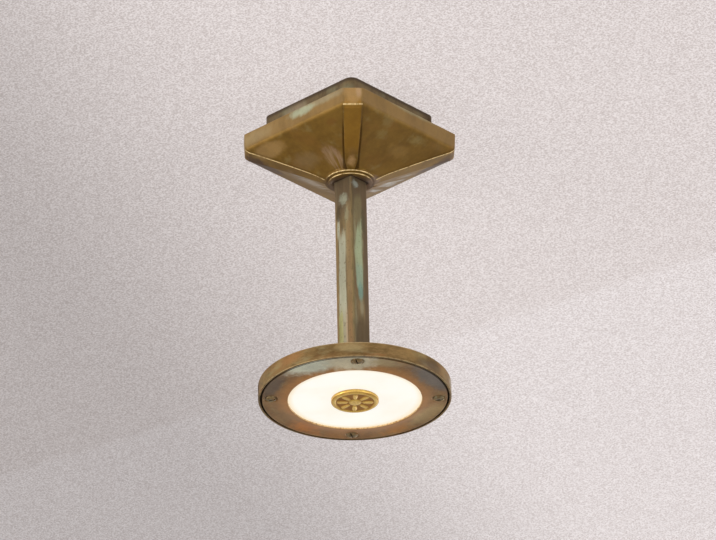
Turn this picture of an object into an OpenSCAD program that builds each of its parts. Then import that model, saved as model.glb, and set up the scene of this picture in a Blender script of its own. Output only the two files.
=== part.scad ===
// Outdoor ceiling light in aged brass: a square ceiling base, a flared square canopy that
// slides on a square stem, and a flat round head with a screwed glass cover.
// Millimetres. The origin is the middle of the ceiling face, and +Z points up into the ceiling.

/* [Overall] */
// Height from the ceiling face down to the rim of the head
drop = 215.5; // [190:0.5:320]
// Side of the square stem
stem_w = 16; // [14:0.5:17]
// Wall of the stem tube
stem_wall = 1.5; // [1:0.25:2]
// Radius on the corners of the stem
stem_corner = 1.1; // [0.5:0.1:2]

/* [Ceiling base] */
// Side of the square ceiling base
base_w = 84; // [80:1:90]
// Height of the ceiling base
base_h = 26; // [25:0.5:28]
// Wall of the ceiling base
base_wall = 2.5; // [2:0.25:3.5]
// Plate of the ceiling base that lies on the ceiling
base_plate = 3; // [2.5:0.25:4]
// Radius on the corners of the ceiling base
base_corner = 6; // [4:0.5:9]
// Distance of each ceiling screw hole from the two sides of the base
bolt_inset = 13; // [11:0.5:15]
// Radius of a ceiling screw hole
bolt_hole_r = 2.25; // [2:0.25:3]
// Radius of the hole for the mains cable
cable_r = 4; // [3:0.25:4.5]

/* [Canopy] */
// How far the canopy stands out past the base on each side
canopy_lap = 14.3; // [11:0.2:18]
// How far the rim leans in, from its top to its foot
rim_draft = 0.6; // [0:0.1:1.5]
// Width of the flat on each corner of the rim
corner_flat = 14.2; // [11:0.2:16]
// Distance from the ceiling to the top of the rim
rim_top = 16.7; // [14:0.1:18.5]
// Height of the rim
rim_h = 12.5; // [11:0.5:15]
// Height of the flared part, from the foot of the rim to the boss
flare_h = 20.4; // [18:0.2:24]
// How deep the flared faces curve in
flare_sag = 0.6; // [0.3:0.1:2]
// Wall of the canopy casting
canopy_wall = 2.4; // [2:0.1:3]
// Width of the raised rib that runs down each corner
rib_w = 13; // [9:0.2:13.4]
// Width of a rib's tip beside the boss
rib_tip_w = 5.4; // [3:0.2:7]
// How far a corner rib stands proud at its outer end
rib_rise = 0.6; // [0.4:0.1:1.2]
// Radius of the round boss under the canopy
boss_r = 15.4; // [14.5:0.1:17]
// Height of the round boss
boss_h = 2.2; // [1.5:0.1:4]

/* [Head] */
// Radius of the round head
head_r = 65; // [62:0.5:75]
// Height of the rim of the head
head_h = 10.5; // [10:0.5:13]
// Wall of the head at its rim
head_wall = 1.6; // [1.2:0.1:2]
// Plate of the head
head_plate = 2.2; // [2:0.1:3]
// Height of the raised middle of the head above its rim
head_rise = 8; // [7.5:0.5:10]
// Width of the cover ring, from its edge in to the glass
ring_w = 17.5; // [16:0.5:22]
// How far the inner edge of the cover ring hangs below its outer edge
ring_drop = 1; // [0.5:0.1:1.5]
// Thickness of the glass
glass_t = 4; // [3.5:0.25:4.25]
// Radius of the medallion
medal_r = 16; // [12:0.5:20]

/* [Cover screws] */
// Number of screws in the cover ring
cover_screws_n = 4; // [3:1:6]
// Radius of a cover screw's thread
cover_screw_r = 2; // [1.5:0.25:2]
// Radius of a cover screw's head
cover_head_r = 4; // [3:0.25:4]
// Height of a cover screw's head
cover_head_h = 2.4; // [1.8:0.1:3]

/* [Hanger and wiring] */
// Radius of the threaded tubes that hold the stem
nipple_r = 5; // [4.5:0.1:5.2]
// Radius of the bore through the threaded tubes
nipple_bore_r = 3.3; // [2.5:0.1:3.5]
// Length of each threaded tube
nipple_l = 21; // [19:0.5:24]
// Width across the flats of a lock nut
nut_flats = 14; // [12.5:0.5:14]
// Height of a lock nut
nut_h = 3; // [2.5:0.25:3.5]
// Thickness of a lock washer
washer_t = 0.9; // [0.6:0.1:1.1]
// Thickness of the hanger bar
bar_t = 3; // [2.5:0.25:4]
// Width of the hanger bar
bar_w = 16; // [14:0.5:20]
// Distance of each hanger screw from the side of the base
bar_inset = 12; // [11.5:0.5:14]
// Radius of a wire with its sleeve
wire_r = 0.8; // [0.6:0.1:1]
// Gap between the light source board and the wall round it
board_gap = 4.3; // [3:0.1:7]
// Thickness of the light source board
board_t = 1.5; // [1:0.1:2]

/* [Hidden] */
$fn = 96;

// Gap between parts that slide on each other or come apart
slide_gap = 0.2;
// Gap round a screw in its own hole
screw_gap = 0.1;
// Gap round the ceiling base where the canopy closes on it
base_gap = 0.5;
// Overlap of a cutting tool past the face that it cuts
over = 1;

// Heights of the stem, the base and the canopy
bar_low = -base_h + 1;
bar_high = bar_low + bar_t;
stem_top = bar_low;
head_low = -drop;
stem_foot = head_low + head_h + head_rise;
rim_foot = -rim_top - rim_h;
flare_foot = rim_foot - flare_h;
boss_low = flare_foot - boss_h;

// Inside of the stem
stem_inner = stem_w - 2 * stem_wall;
plug_gap = 0.05;
plug_h = 14;

// Square hole in the canopy, and the seal at its mouth
bore_w = stem_w + 2 * slide_gap;
seal_w = stem_w + 2.2;
seal_h = 2;
seal_sink = 0.4;
collar_r = 14.2;
collar_h = 14;

// Canopy profile, from the foot of the rim to the boss
rim_half = base_w / 2 + canopy_lap;
canopy_w = 2 * rim_half;
rim_half_low = rim_half - rim_draft;
face_end = boss_r - 0.2;
chamfer_end = boss_r + 1.9;
flare_lift = canopy_wall * 1.13;
rim_flat_half = rim_half * sqrt(2) - corner_flat / 2;
rib_inset = 2.2;
rib_start = rim_flat_half - rim_draft - rib_inset;
rib_taper_r = 0.8 * rim_half;
rib_tip_r = boss_r + 3.4;
boss_step = 2.1;
boss_step_h = 0.9;
grub_z = flare_foot + 4.5;
grub_l = 9;
top_ring_t = 1.5;
top_ring_sink = 0.5;
top_ring_seat = 0.7;

// Cover and head, measured up from the rim of the head
ring_gap = 0.9;
ring_r = head_r - head_wall - ring_gap;
window_r = ring_r - ring_w;
ring_t = 3.2;
ring_seat = 0;
ring_dish = 0.5;
glass_lap = 5.2;
glass_r = window_r + glass_lap;
glass_low = ring_seat;
glass_high = glass_low + glass_t;
gasket_t = 1.1;
gasket_w = 3.5;
rib_low = glass_high + gasket_t + screw_gap;
rib_in_r = glass_r - gasket_w - 0.4;
rib_out_r = glass_r + 0.4;
plate_high = head_h + head_rise;
plate_low = plate_high - head_plate;
rise_r = rib_in_r + head_plate;
hub_r = 17;
hub_h = 10;
socket_w = stem_w + 2 * screw_gap;
screw_circle_r = (rib_out_r + ring_r) / 2 - 0.2;
post_r = 4.2;
sink_r = cover_head_r + 0.35;
sink_d = 1.3;

// Light source and the lower joint
board_high = plate_low - 0.1;
board_low = board_high - board_t;
board_r = rib_in_r - board_gap;
board_hole_r = 10;
chip_w = 2.8;
chip_l = 3.5;
chip_h = 0.8;
chip_inner_r = board_hole_r + 7.5;
chip_edge = 8;
chip_outer_r = board_r - chip_edge;
board_screw_circle_r = (chip_inner_r + chip_outer_r) / 2;
board_screw_head_r = 2.8;
board_screw_head_h = 1.6;
board_screws_n = 3;
board_screw_r = 1.5;
low_washer_high = plate_low;
low_nut_high = low_washer_high - washer_t;
low_nut_low = low_nut_high - nut_h;
low_nipple_low = low_nut_low - 0.4;

// Medallion and its stud
pad_t = 0.5;
medal_t = 2;
medal_relief = 0.9;
petals_n = 8;
stud_r = 2;
stud_washer_t = 0.8;
stud_pad_t = 0.8;
stud_nut_h = 2.2;
stud_nut_flats = 7;
stud_top = glass_high + stud_pad_t + stud_washer_t + stud_nut_h + 0.1;

// Things in the ceiling base
inner_half = base_w / 2 - base_wall;
bolt_pitch = base_w - 2 * bolt_inset;
bar_pitch = base_w - 2 * bar_inset;
post_x = bar_pitch / 2;
base_post_r = 4.5;
blind_depth = 0.5;
m4_r = 2;
m4_head_r = 4;
m4_head_h = 2.4;
hanger_grip = 8;
hanger_hole_d = 10;
grommet_wall = 2;
grommet_lip = 2;
grommet_neck_r = cable_r + grommet_wall;
grommet_flange_r = grommet_neck_r + grommet_lip;
grommet_flange_t = 1.5;
driver_l = 46;
driver_w = 20;
driver_h = 12.5;
driver_y = inner_half - driver_w / 2 - 5.5;
driver_gap = 0.5;
driver_ear = 8;
driver_foot_t = 2.5;
driver_screw_x = driver_l / 2 - driver_ear / 2;
driver_screw_head_r = 2.8;
driver_screw_head_h = 1.8;
driver_well_d = 5;
block_l = 29;
block_w = 16;
block_h = 12;
block_y = -(inner_half - block_w / 2 - 6.5);
pole_pitch = 9;
pole_r = 2.4;
pole_d = 5;
wire_way_r = 1.8;
wire_way_z = 6.5;
slot_w = 1;
slot_d = 4;
terminal_screw_r = 1.9;
terminal_screw_h = 2.4;
terminal_screw_sink = 2.2;
pole_gap = block_w / 4;
earth_at = [-(post_x - 3), -9];
lug_r = 3.4;
lug_t = 0.8;
lug_tail = 1;
earth_head_r = 3.2;
earth_head_h = 2.2;
seal_ring_w = 2.5;
seal_ring_in = 3;
seal_ring_d = 1.2;

// Points of each wire, chosen by hand round the block, the posts, the driver and the earth lug
block_edge = block_y + block_w / 2;
driver_end = driver_l / 2;
live_y = driver_y - 6;
neutral_y = driver_y - 1.5;
live_route = [[-pole_pitch, block_edge - 4, -9.5], [-pole_pitch, block_edge, -9.5],
  [-8.5, block_edge + 4, -11.5], [4, block_edge + 5.5, -12.5], [post_x - 14, block_edge + 9, -12.5],
  [post_x - 10, 2, -12.5], [post_x - 4, live_y - 9, -11.5], [driver_end + 6.5, live_y - 3, -10.5],
  [driver_end + 4.5, live_y, -10], [driver_end + 0.1, live_y, -10]];
neutral_route = [[pole_pitch, block_edge - 4, -9.5], [pole_pitch, block_edge, -9.5],
  [10, block_edge + 3.5, -9], [post_x - 13, block_edge + 8, -8], [post_x - 7.5, 1, -8],
  [post_x, neutral_y - 12.5, -8], [driver_end + 10.5, neutral_y - 5.5, -8.7],
  [driver_end + 8, neutral_y - 1, -9.6], [driver_end + 4, neutral_y, -10], [driver_end + 0.1, neutral_y, -10]];
earth_end = [earth_at[0] + lug_r + lug_tail + 0.1, earth_at[1]];
earth_route = [[0, block_edge - 4, -9.5], [0, block_edge, -9.5], [-1.5, block_edge + 4, -10],
  [earth_end[0] + 14.5, block_edge + 7, -9], [earth_end[0] + 8, earth_end[1], -6.5],
  [earth_end[0] + 3, earth_end[1], -4.4], [earth_end[0], earth_end[1], -4]];
led_route_a = [[-driver_end - 0.1, live_y, -10], [-driver_end - 4.5, live_y - 0.5, -11],
  [-driver_end - 5, live_y - 6, -12], [9 - post_x, live_y - 12, -13],
  [-12, 1.5, -13.3], [-5, 0.2, -13.4], [-2, 0, -14.6], [-1.2, 0, -17.5]];
led_route_b = [[-driver_end - 0.1, neutral_y, -10], [-driver_end - 6.5, neutral_y, -9],
  [-driver_end - 10, neutral_y - 6.5, -8.5], [4 - post_x, neutral_y - 13.5, -9],
  [-13, 5, -9.2], [-4, 1.5, -9.6], [0.4, 0.2, -11.3], [1.2, 0, -15], [1.2, 0, -18]];
led_tail = [[1.2, 12.4], [1.5, 10.9], [3.2, 10.1], [7, 9.9], [11, 10.4], [14.5, 12], [15.4, 14.6]];

// Helpers

module rounded_square(w, r) {
  offset_w = w - 2 * r;
  square([w, offset_w], center = true);
  square([offset_w, w], center = true);
  for (x = [-1, 1], y = [-1, 1]) translate([x, y] * offset_w / 2) circle(r, $fn = 48);
}

module rounded_bar(w, r, low, high) {
  translate([0, 0, low]) linear_extrude(high - low) rounded_square(w, r);
}

module tube(r, bore, low, high) {
  translate([0, 0, low]) difference() {
    cylinder(r = r, h = high - low);
    translate([0, 0, -over]) cylinder(r = bore, h = high - low + 2 * over);
  }
}

module rod(r, low, high) {
  translate([0, 0, low]) cylinder(r = r, h = high - low);
}

module hex_nut(flats, bore, low, high) {
  translate([0, 0, low]) difference() {
    intersection() {
      cylinder(d = flats / cos(30), h = high - low, $fn = 6);
      cylinder(r1 = flats / 2 + (high - low), r2 = flats / 2 + 0.2, h = high - low);
    }
    translate([0, 0, -over]) cylinder(r = bore, h = high - low + 2 * over);
  }
}

// A screw that points up: its head hangs below z = 0 and its thread rises above
module screw_up(thread_r, thread_l, head_r, head_h) {
  difference() {
    union() {
      cylinder(r = thread_r, h = thread_l);
      translate([0, 0, -head_h / 2]) cylinder(r = head_r, h = head_h / 2);
      translate([0, 0, -head_h]) cylinder(r1 = head_r * 0.72, r2 = head_r, h = head_h / 2);
    }
    translate([-head_r, -head_r * 0.12, -head_h - over])
      cube([2 * head_r, head_r * 0.24, head_h * 0.4 + over]);
  }
}

// Points of a smooth curve through hand-picked points, with steps points to each stretch
function smooth(p, steps) = let (n = len(p)) concat(
  [for (i = [0 : n - 2], s = [0 : steps - 1])
    let (a = p[max(i - 1, 0)], b = p[i], c = p[i + 1], d = p[min(i + 2, n - 1)], t = s / steps)
      0.5 * (2 * b + (c - a) * t + (2 * a - 5 * b + 4 * c - d) * t * t
        + (3 * b - a - 3 * c + d) * t * t * t)],
  [p[n - 1]]);

function unit(v) = v / norm(v);

// A tube swept along points, with its rings held square to the run
module sweep(points, r, side, sides = 8) {
  n = len(points);
  rings = [for (i = [0 : n - 1])
    let (
      along = unit(points[min(i + 1, n - 1)] - points[max(i - 1, 0)]),
      u = unit(cross(along, side)),
      v = cross(along, u)
    )
    for (k = [0 : sides - 1]) points[i] + r * (u * cos(360 * k / sides) + v * sin(360 * k / sides))];
  walls = [for (i = [0 : n - 2], k = [0 : sides - 1])
    let (a = i * sides + k, b = i * sides + (k + 1) % sides)
    each [[a, b, a + sides], [b, b + sides, a + sides]]];
  first = [for (k = [1 : sides - 2]) [0, k + 1, k]];
  last = [for (k = [1 : sides - 2]) [(n - 1) * sides, (n - 1) * sides + k, (n - 1) * sides + k + 1]];
  polyhedron(points = rings, faces = concat(walls, first, last), convexity = 8);
}

// Ceiling base and what is in it

module at_bolts() {
  for (x = [-1, 1], y = [-1, 1]) translate([x, y] * bolt_pitch / 2) children();
}

module at_hanger_screws() {
  for (x = [-1, 1]) translate([x * post_x, 0, 0]) children();
}

module ceiling_base() {
  color("darkgoldenrod") difference() {
    union() {
      difference() {
        rounded_bar(base_w, base_corner, -base_h, 0);
        rounded_bar(base_w - 2 * base_wall, base_corner - base_wall, -base_h - over, -base_plate);
      }
      at_hanger_screws() rod(base_post_r, bar_high, -base_plate);
    }
    difference() {
      rounded_bar(base_w - 2 * seal_ring_in, base_corner - 1, -seal_ring_d, over);
      rounded_bar(base_w - 2 * (seal_ring_in + seal_ring_w), base_corner - 2, -seal_ring_d - over, 2 * over);
    }
    rod(grommet_neck_r, -base_plate - over, over);
    at_bolts() rod(bolt_hole_r, -base_plate - over, over);
    at_hanger_screws() rod(m4_r + screw_gap, bar_high - over, bar_high + hanger_hole_d);
    translate([earth_at[0], earth_at[1], 0]) rod(m4_r + screw_gap, -base_plate - over, -blind_depth);
    at_driver_screws() rod(board_screw_r + screw_gap, -base_plate - over, -blind_depth);
  }
}

module ceiling_seal() {
  color("dimgray") difference() {
    rounded_bar(base_w - 2 * seal_ring_in - 2 * screw_gap, base_corner - 1, -seal_ring_d, 0);
    rounded_bar(base_w - 2 * (seal_ring_in + seal_ring_w) + 2 * screw_gap, base_corner - 2,
      -seal_ring_d - over, over);
  }
}

module cable_grommet() {
  color("black") difference() {
    union() {
      rod(grommet_neck_r, -base_plate, 0);
      rod(grommet_flange_r, -base_plate - grommet_flange_t, -base_plate);
    }
    rod(cable_r, -base_plate - grommet_flange_t - over, over);
  }
}

module hanger_bar() {
  color("silver") difference() {
    union() {
      translate([-post_x, -bar_w / 2, bar_low]) cube([bar_pitch, bar_w, bar_t]);
      at_hanger_screws() rod(bar_w / 2, bar_low, bar_high);
    }
    rod(nipple_r + screw_gap, bar_low - over, bar_high + over);
    at_hanger_screws() rod(m4_r + screw_gap, bar_low - over, bar_high + over);
  }
}

module hanger_screws() {
  color("silver") at_hanger_screws() translate([0, 0, bar_low])
    screw_up(m4_r, bar_t + hanger_grip, m4_head_r, m4_head_h);
}

module at_poles() {
  for (i = [-1 : 1]) translate([i * pole_pitch, 0, 0]) children();
}

module terminal_block() {
  color("ivory") translate([0, block_y, -base_plate]) difference() {
    translate([-block_l / 2, -block_w / 2, -block_h]) cube([block_l, block_w, block_h]);
    at_poles() {
      for (y = [-1, 1]) translate([0, y * pole_gap, -block_h - over]) cylinder(r = pole_r, h = pole_d + over);
      translate([0, block_w, -wire_way_z]) rotate([90, 0, 0]) cylinder(r = wire_way_r, h = 2 * block_w);
    }
    for (i = [-1, 1]) translate([i * pole_pitch / 2 - slot_w / 2, -block_w / 2 - over, -block_h - over])
      cube([slot_w, block_w + 2 * over, slot_d + over]);
  }
}

module terminal_screws() {
  color("silver") at_poles() for (y = [-1, 1])
    translate([0, block_y + y * pole_gap, -base_plate - block_h + terminal_screw_sink]) difference() {
      cylinder(r = terminal_screw_r, h = terminal_screw_h);
      translate([-terminal_screw_r - over, -terminal_screw_r * 0.16, -over])
        cube([2 * (terminal_screw_r + over), terminal_screw_r * 0.32, terminal_screw_h * 0.3 + over]);
    }
}

module at_driver_screws() {
  for (x = [-1, 1]) translate([x * driver_screw_x, driver_y, 0]) children();
}

module led_driver() {
  color("whitesmoke") translate([0, 0, -base_plate - driver_gap]) difference() {
    translate([0, driver_y, 0]) {
      translate([-driver_l / 2 + driver_ear, -driver_w / 2, -driver_h])
        cube([driver_l - 2 * driver_ear, driver_w, driver_h]);
      translate([-driver_l / 2, -driver_w / 2, -driver_h + driver_foot_t])
        cube([driver_l, driver_w, driver_h - driver_foot_t]);
    }
    at_driver_screws() {
      rod(board_screw_r + screw_gap, -driver_h - over, over);
      rod(driver_screw_head_r + screw_gap * 4, -driver_h - over, -driver_h + driver_well_d);
    }
  }
}

module driver_screws() {
  color("silver") at_driver_screws()
    translate([0, 0, -base_plate - driver_gap - driver_h + driver_well_d])
      screw_up(board_screw_r, driver_h - driver_well_d + driver_gap + base_plate - blind_depth - 0.5,
        driver_screw_head_r, driver_screw_head_h);
}

module earth_screw() {
  color("limegreen") translate([earth_at[0], earth_at[1], -base_plate - lug_t])
    screw_up(m4_r, base_plate + lug_t - blind_depth - 0.3, earth_head_r, earth_head_h);
}

module earth_lug() {
  color("silver") translate([earth_at[0], earth_at[1], -base_plate - lug_t]) difference() {
    union() {
      cylinder(r = lug_r, h = lug_t);
      translate([0, -lug_tail, 0]) cube([lug_r + lug_tail, 2 * lug_tail, lug_t]);
    }
    translate([0, 0, -over]) cylinder(r = m4_r + screw_gap, h = lug_t + 2 * over);
  }
}

module live_wire() {
  color("saddlebrown") sweep(smooth(live_route, 4), wire_r, [0.1, 0.2, 1]);
}

module neutral_wire() {
  color("royalblue") sweep(smooth(neutral_route, 4), wire_r, [0.1, 0.2, 1]);
}

module earth_wire() {
  color("yellowgreen") sweep(smooth(earth_route, 4), wire_r, [0.1, 0.3, 1]);
}

// The tail of a light source wire, from the lower threaded tube to its pad on the board
function led_tail_at(side) = [for (p = led_tail) [side * p[0], 0, head_low + p[1]]];

module led_wire_red() {
  color("firebrick") sweep(concat(smooth(led_route_a, 4), smooth(led_tail_at(-1), 3)), wire_r, [0, 1, 0.02]);
}

module led_wire_black() {
  color("black") sweep(concat(smooth(led_route_b, 4), smooth(led_tail_at(1), 3)), wire_r, [0, 1, 0.02]);
}

// Stem and its two threaded joints

module stem() {
  color("peru") difference() {
    rounded_bar(stem_w, stem_corner, stem_foot, stem_top);
    rounded_bar(stem_inner, 0.4, stem_foot - over, stem_top + over);
  }
}

module plug(low) {
  difference() {
    rounded_bar(stem_inner - 2 * plug_gap, 0.5, low, low + plug_h);
    rod(nipple_r + plug_gap, low - over, low + plug_h + over);
  }
}

module upper_plug() {
  color("goldenrod") plug(stem_top - 0.3 - plug_h);
}

module upper_nipple() {
  color("gold") tube(nipple_r, nipple_bore_r, bar_high + nut_h + washer_t + 0.6 - nipple_l,
    bar_high + nut_h + washer_t + 0.6);
}

module upper_washer() {
  color("silver") tube(8, nipple_r + screw_gap, bar_high, bar_high + washer_t);
}

module upper_nut() {
  color("gold") hex_nut(nut_flats, nipple_r + plug_gap, bar_high + washer_t, bar_high + washer_t + nut_h);
}

module lower_plug() {
  color("goldenrod") plug(stem_foot + 0.3);
}

module lower_nipple() {
  color("gold") tube(nipple_r, nipple_bore_r, head_low + low_nipple_low, head_low + low_nipple_low + nipple_l);
}

module lower_washer() {
  color("silver") tube(8, nipple_r + screw_gap, head_low + low_nut_high, head_low + low_washer_high);
}

module lower_nut() {
  color("gold") translate([0, 0, head_low]) hex_nut(nut_flats, nipple_r + plug_gap, low_nut_low, low_nut_high);
}

// Head

module at_cover_screws() {
  for (i = [0 : cover_screws_n - 1]) rotate(45 + i * 360 / cover_screws_n)
    translate([screw_circle_r, 0, 0]) children();
}

module at_board_screws() {
  for (i = [0 : board_screws_n - 1]) rotate(90 + i * 360 / board_screws_n)
    translate([board_screw_circle_r, 0, 0]) children();
}

module head_pan() {
  soft = 0.8;
  color("darkgoldenrod") translate([0, 0, head_low]) difference() {
    union() {
      rotate_extrude($fn = 180) polygon([
        [0, plate_low], [rib_in_r, plate_low], [rib_in_r, rib_low], [rib_out_r, rib_low],
        [rib_out_r, head_h - head_plate], [head_r - head_wall, head_h - head_plate],
        [head_r - head_wall, 0], [head_r, 0], [head_r, head_h - soft], [head_r - soft, head_h],
        [rise_r + soft, head_h], [rise_r, head_h + soft], [rise_r, plate_high - soft],
        [rise_r - soft, plate_high], [hub_r + soft, plate_high], [hub_r, plate_high + soft],
        [hub_r, plate_high + hub_h - soft], [hub_r - soft, plate_high + hub_h], [0, plate_high + hub_h]
      ]);
      at_cover_screws() rod(post_r, ring_t + screw_gap, head_h - head_plate);
    }
    rounded_bar(socket_w, stem_corner, plate_high, plate_high + hub_h + over);
    rod(nipple_r + screw_gap, plate_low - over, plate_high + over);
    at_cover_screws() rod(cover_screw_r + screw_gap, ring_t - over, head_h - head_plate + 1);
    at_board_screws() rod(board_screw_r + screw_gap, plate_low - over, plate_high - blind_depth);
  }
}

module led_board() {
  color("white") translate([0, 0, head_low]) difference() {
    tube(board_r, board_hole_r, board_low, board_high);
    at_board_screws() rod(board_screw_r + screw_gap, board_low - over, board_high + over);
  }
}

// Chips sit on rings, each a radius and a number
module led_chips() {
  rings = [[chip_inner_r, 6], [chip_outer_r, 18]];
  color("khaki") translate([0, 0, head_low + board_low - chip_h])
    for (ring = rings, i = [0 : ring[1] - 1]) rotate((i + 0.5) * 360 / ring[1])
      translate([ring[0] - chip_w / 2, -chip_l / 2, 0]) cube([chip_w, chip_l, chip_h]);
}

module board_screws() {
  color("silver") translate([0, 0, head_low + board_low]) at_board_screws()
    screw_up(board_screw_r, board_t + head_plate - 0.8, board_screw_head_r, board_screw_head_h);
}

module reflector() {
  wall = 0.8;
  high = board_low - 0.2;
  color("white") translate([0, 0, head_low]) rotate_extrude($fn = 180) polygon([
    [rib_in_r - 0.3, rib_low], [rib_in_r - 0.3 - wall, rib_low],
    [board_r - 2.2, high], [board_r - 2.2 + wall, high]
  ]);
}

// Canopy

// Centre and radius of the arc that runs from a to b and curves in by sag
function arc_radius(a, b, sag) = norm(b - a) * norm(b - a) / (8 * sag) + sag / 2;
function arc_centre(a, b, sag) = let (along = unit(b - a), out = [-along[1], along[0]])
  (a + b) / 2 + out * (arc_radius(a, b, sag) - sag);

// Outline of the flare, from the half width at the rim's foot to the half width at the boss. The plain
// outline runs past both ends of the arc, so that the circle cuts it clean at every size.
module flare_outline(top_half, low_half, end_half, grow, lift, clip) {
  high = -rim_top + (lift > 0 ? over : 0);
  top = [top_half + grow, high];
  a = [low_half + grow, rim_foot + lift];
  b = [end_half + grow, flare_foot + lift];
  half = [top, a + unit(a - top), b + [1, 0]];
  intersection() {
    difference() {
      polygon(concat(half, [for (i = [2 : -1 : 0]) [-half[i][0], half[i][1]]]));
      for (side = [0, 1]) mirror([side, 0]) translate(arc_centre(a, b, flare_sag))
        circle(arc_radius(a, b, flare_sag), $fn = 360);
    }
    translate([-clip, flare_foot - over]) square([2 * clip, flare_h + rim_h + 3 * over]);
  }
}

// The flare's outline swept straight across
module flare_slab(top_half, low_half, end_half, grow, lift, clip) {
  reach = 2 * canopy_w;
  rotate([90, 0, 0]) translate([0, 0, -reach / 2]) linear_extrude(reach)
    flare_outline(top_half, low_half, end_half, grow, lift, clip);
}

// The whole flared body, which grows by grow and rises by lift
module flare_body(grow = 0, lift = 0, wall = 0) {
  intersection() {
    for_faces(grow, lift, wall);
    rotate(90) for_faces(grow, lift, wall);
    for_chamfers(grow, lift, wall);
    rotate(90) for_chamfers(grow, lift, wall);
  }
}

// A wall of 0 leaves the sides uncut
function side_clip(half, wall) = half + (wall > 0 ? -wall : over);

module for_faces(grow, lift, wall) {
  flare_slab(rim_half, rim_half_low, face_end, grow, lift, side_clip(rim_half + grow, wall));
}

module for_chamfers(grow, lift, wall) {
  rotate(45) flare_slab(rim_flat_half, rim_flat_half - rim_draft, chamfer_end, grow, lift,
    side_clip(rim_flat_half + grow, wall));
}

// Half width of a rib at radius r: full near the rim, drawn in towards the boss
function rib_half(r) = let (t = max(0, (rib_taper_r - r) / (rib_taper_r - rib_tip_r)))
  rib_w / 2 - (rib_w - rib_tip_w) / 2 * t * t;

// A rib seen from above
module rib_plan() {
  low_r = rib_tip_r - 4;
  steps = 10;
  stations = concat([for (i = [0 : steps]) low_r + (rib_taper_r - low_r) * i / steps], [rib_start]);
  polygon(concat([for (r = stations) [r, rib_half(r)]],
    [for (i = [len(stations) - 1 : -1 : 0]) [stations[i], -rib_half(stations[i])]]));
}

// A rib seen from the side, with its face a little hollow
module rib_side() {
  slope = flare_h / (rim_flat_half - rim_draft - chamfer_end);
  a = [rib_start, rim_foot - rib_inset * slope - rib_rise];
  b = [boss_r + boss_step, flare_foot - 0.2];
  difference() {
    polygon([[0, rim_foot], [rib_start, rim_foot], a - [0, 1], b + [1, 0], [0, flare_foot - 0.2]]);
    translate(arc_centre(a, b, flare_sag * 0.8)) circle(arc_radius(a, b, flare_sag * 0.8), $fn = 360);
  }
}

// Raised strips that run down the corners, from near the rim to the boss
module ribs() {
  for (turn = [45 : 90 : 315]) rotate(turn) intersection() {
    translate([0, 0, flare_foot - over]) linear_extrude(flare_h + over) rib_plan();
    rotate([90, 0, 0]) translate([0, 0, -rib_w]) linear_extrude(2 * rib_w) rib_side();
  }
}

module canopy() {
  soft = 0.5;
  color("goldenrod") difference() {
    union() {
      difference() {
        union() {
          flare_body();
          ribs();
        }
        flare_body(0, flare_lift, canopy_wall);
        canopy_top_seat();
      }
      rod(boss_r, boss_low + soft, flare_foot + 2.5);
      translate([0, 0, boss_low]) cylinder(r1 = boss_r - soft, r2 = boss_r, h = soft);
      rod(boss_r + boss_step, flare_foot - boss_step_h, flare_foot + 1.8);
      rod(collar_r, flare_foot - over, flare_foot + collar_h);
    }
    rounded_bar(bore_w, stem_corner, boss_low - over, 0);
    rounded_bar(seal_w, stem_corner + 0.4, boss_low - over, boss_low + seal_sink + seal_h);
    translate([0, 0, grub_z]) rotate([-90, 0, 0]) cylinder(r = m4_r + screw_gap, h = canopy_w);
  }
}

// Seat for the ring that closes the top of the canopy
module canopy_top_seat() {
  low = -rim_top - top_ring_sink - top_ring_t;
  translate([0, 0, low]) linear_extrude(rim_h) cut_square(rim_half - canopy_wall + top_ring_seat);
}

// A square with its corners cut like the rim's
module cut_square(half) {
  flat_half = half * sqrt(2) - (corner_flat - (rim_half - half) * 0.8) / 2;
  intersection() {
    square(2 * half, center = true);
    rotate(45) square(2 * flat_half, center = true);
  }
}

module canopy_top_ring() {
  low = -rim_top - top_ring_sink - top_ring_t;
  color("goldenrod") difference() {
    translate([0, 0, low]) linear_extrude(top_ring_t)
      cut_square(rim_half - canopy_wall + top_ring_seat - screw_gap);
    rounded_bar(base_w + 2 * base_gap, base_corner, low - over, -rim_top);
  }
}

module canopy_grub_screw() {
  color("dimgray") translate([0, stem_w / 2 + plug_gap, grub_z]) rotate([-90, 0, 0]) difference() {
    cylinder(r = m4_r, h = grub_l);
    translate([0, 0, grub_l - 2.5]) cylinder(d = 2 / cos(30), h = 2.5 + over, $fn = 6);
  }
}

module stem_seal() {
  color("black") difference() {
    rounded_bar(seal_w - 2 * plug_gap, stem_corner + 0.4, boss_low + seal_sink, boss_low + seal_sink + seal_h);
    rounded_bar(stem_w + 2 * screw_gap, stem_corner, boss_low - over, boss_low + seal_sink + seal_h + over);
  }
}

// Cover

module cover_ring() {
  edge = 0.4;
  fall = ring_drop / (ring_r - window_r - 2 * edge);
  dish_a = [ring_r - edge - 0.8, -0.8 * fall];
  dish_b = [window_r + edge + 1, fall - ring_drop];
  color("peru") translate([0, 0, head_low]) difference() {
    rotate_extrude($fn = 180) difference() {
      polygon([
        [window_r, edge - ring_drop], [window_r + edge, -ring_drop], [ring_r - edge, 0], [ring_r, edge],
        [ring_r, ring_t],
        [rib_out_r, ring_t], [rib_out_r, ring_seat], [window_r, ring_seat]
      ]);
      translate(arc_centre(dish_a, dish_b, ring_dish)) circle(arc_radius(dish_a, dish_b, ring_dish), $fn = 360);
    }
    at_cover_screws() {
      rod(cover_screw_r + screw_gap, -ring_drop - over, ring_t + over);
      rod(sink_r, -ring_drop - over, sink_d);
    }
  }
}

module cover_glass() {
  color([0.95, 0.95, 0.9, 0.9]) tube(glass_r, stud_r + 0.4, head_low + glass_low, head_low + glass_high);
}

module glass_gasket() {
  color("gray") tube(glass_r, glass_r - gasket_w, head_low + glass_high, head_low + glass_high + gasket_t);
}

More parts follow.
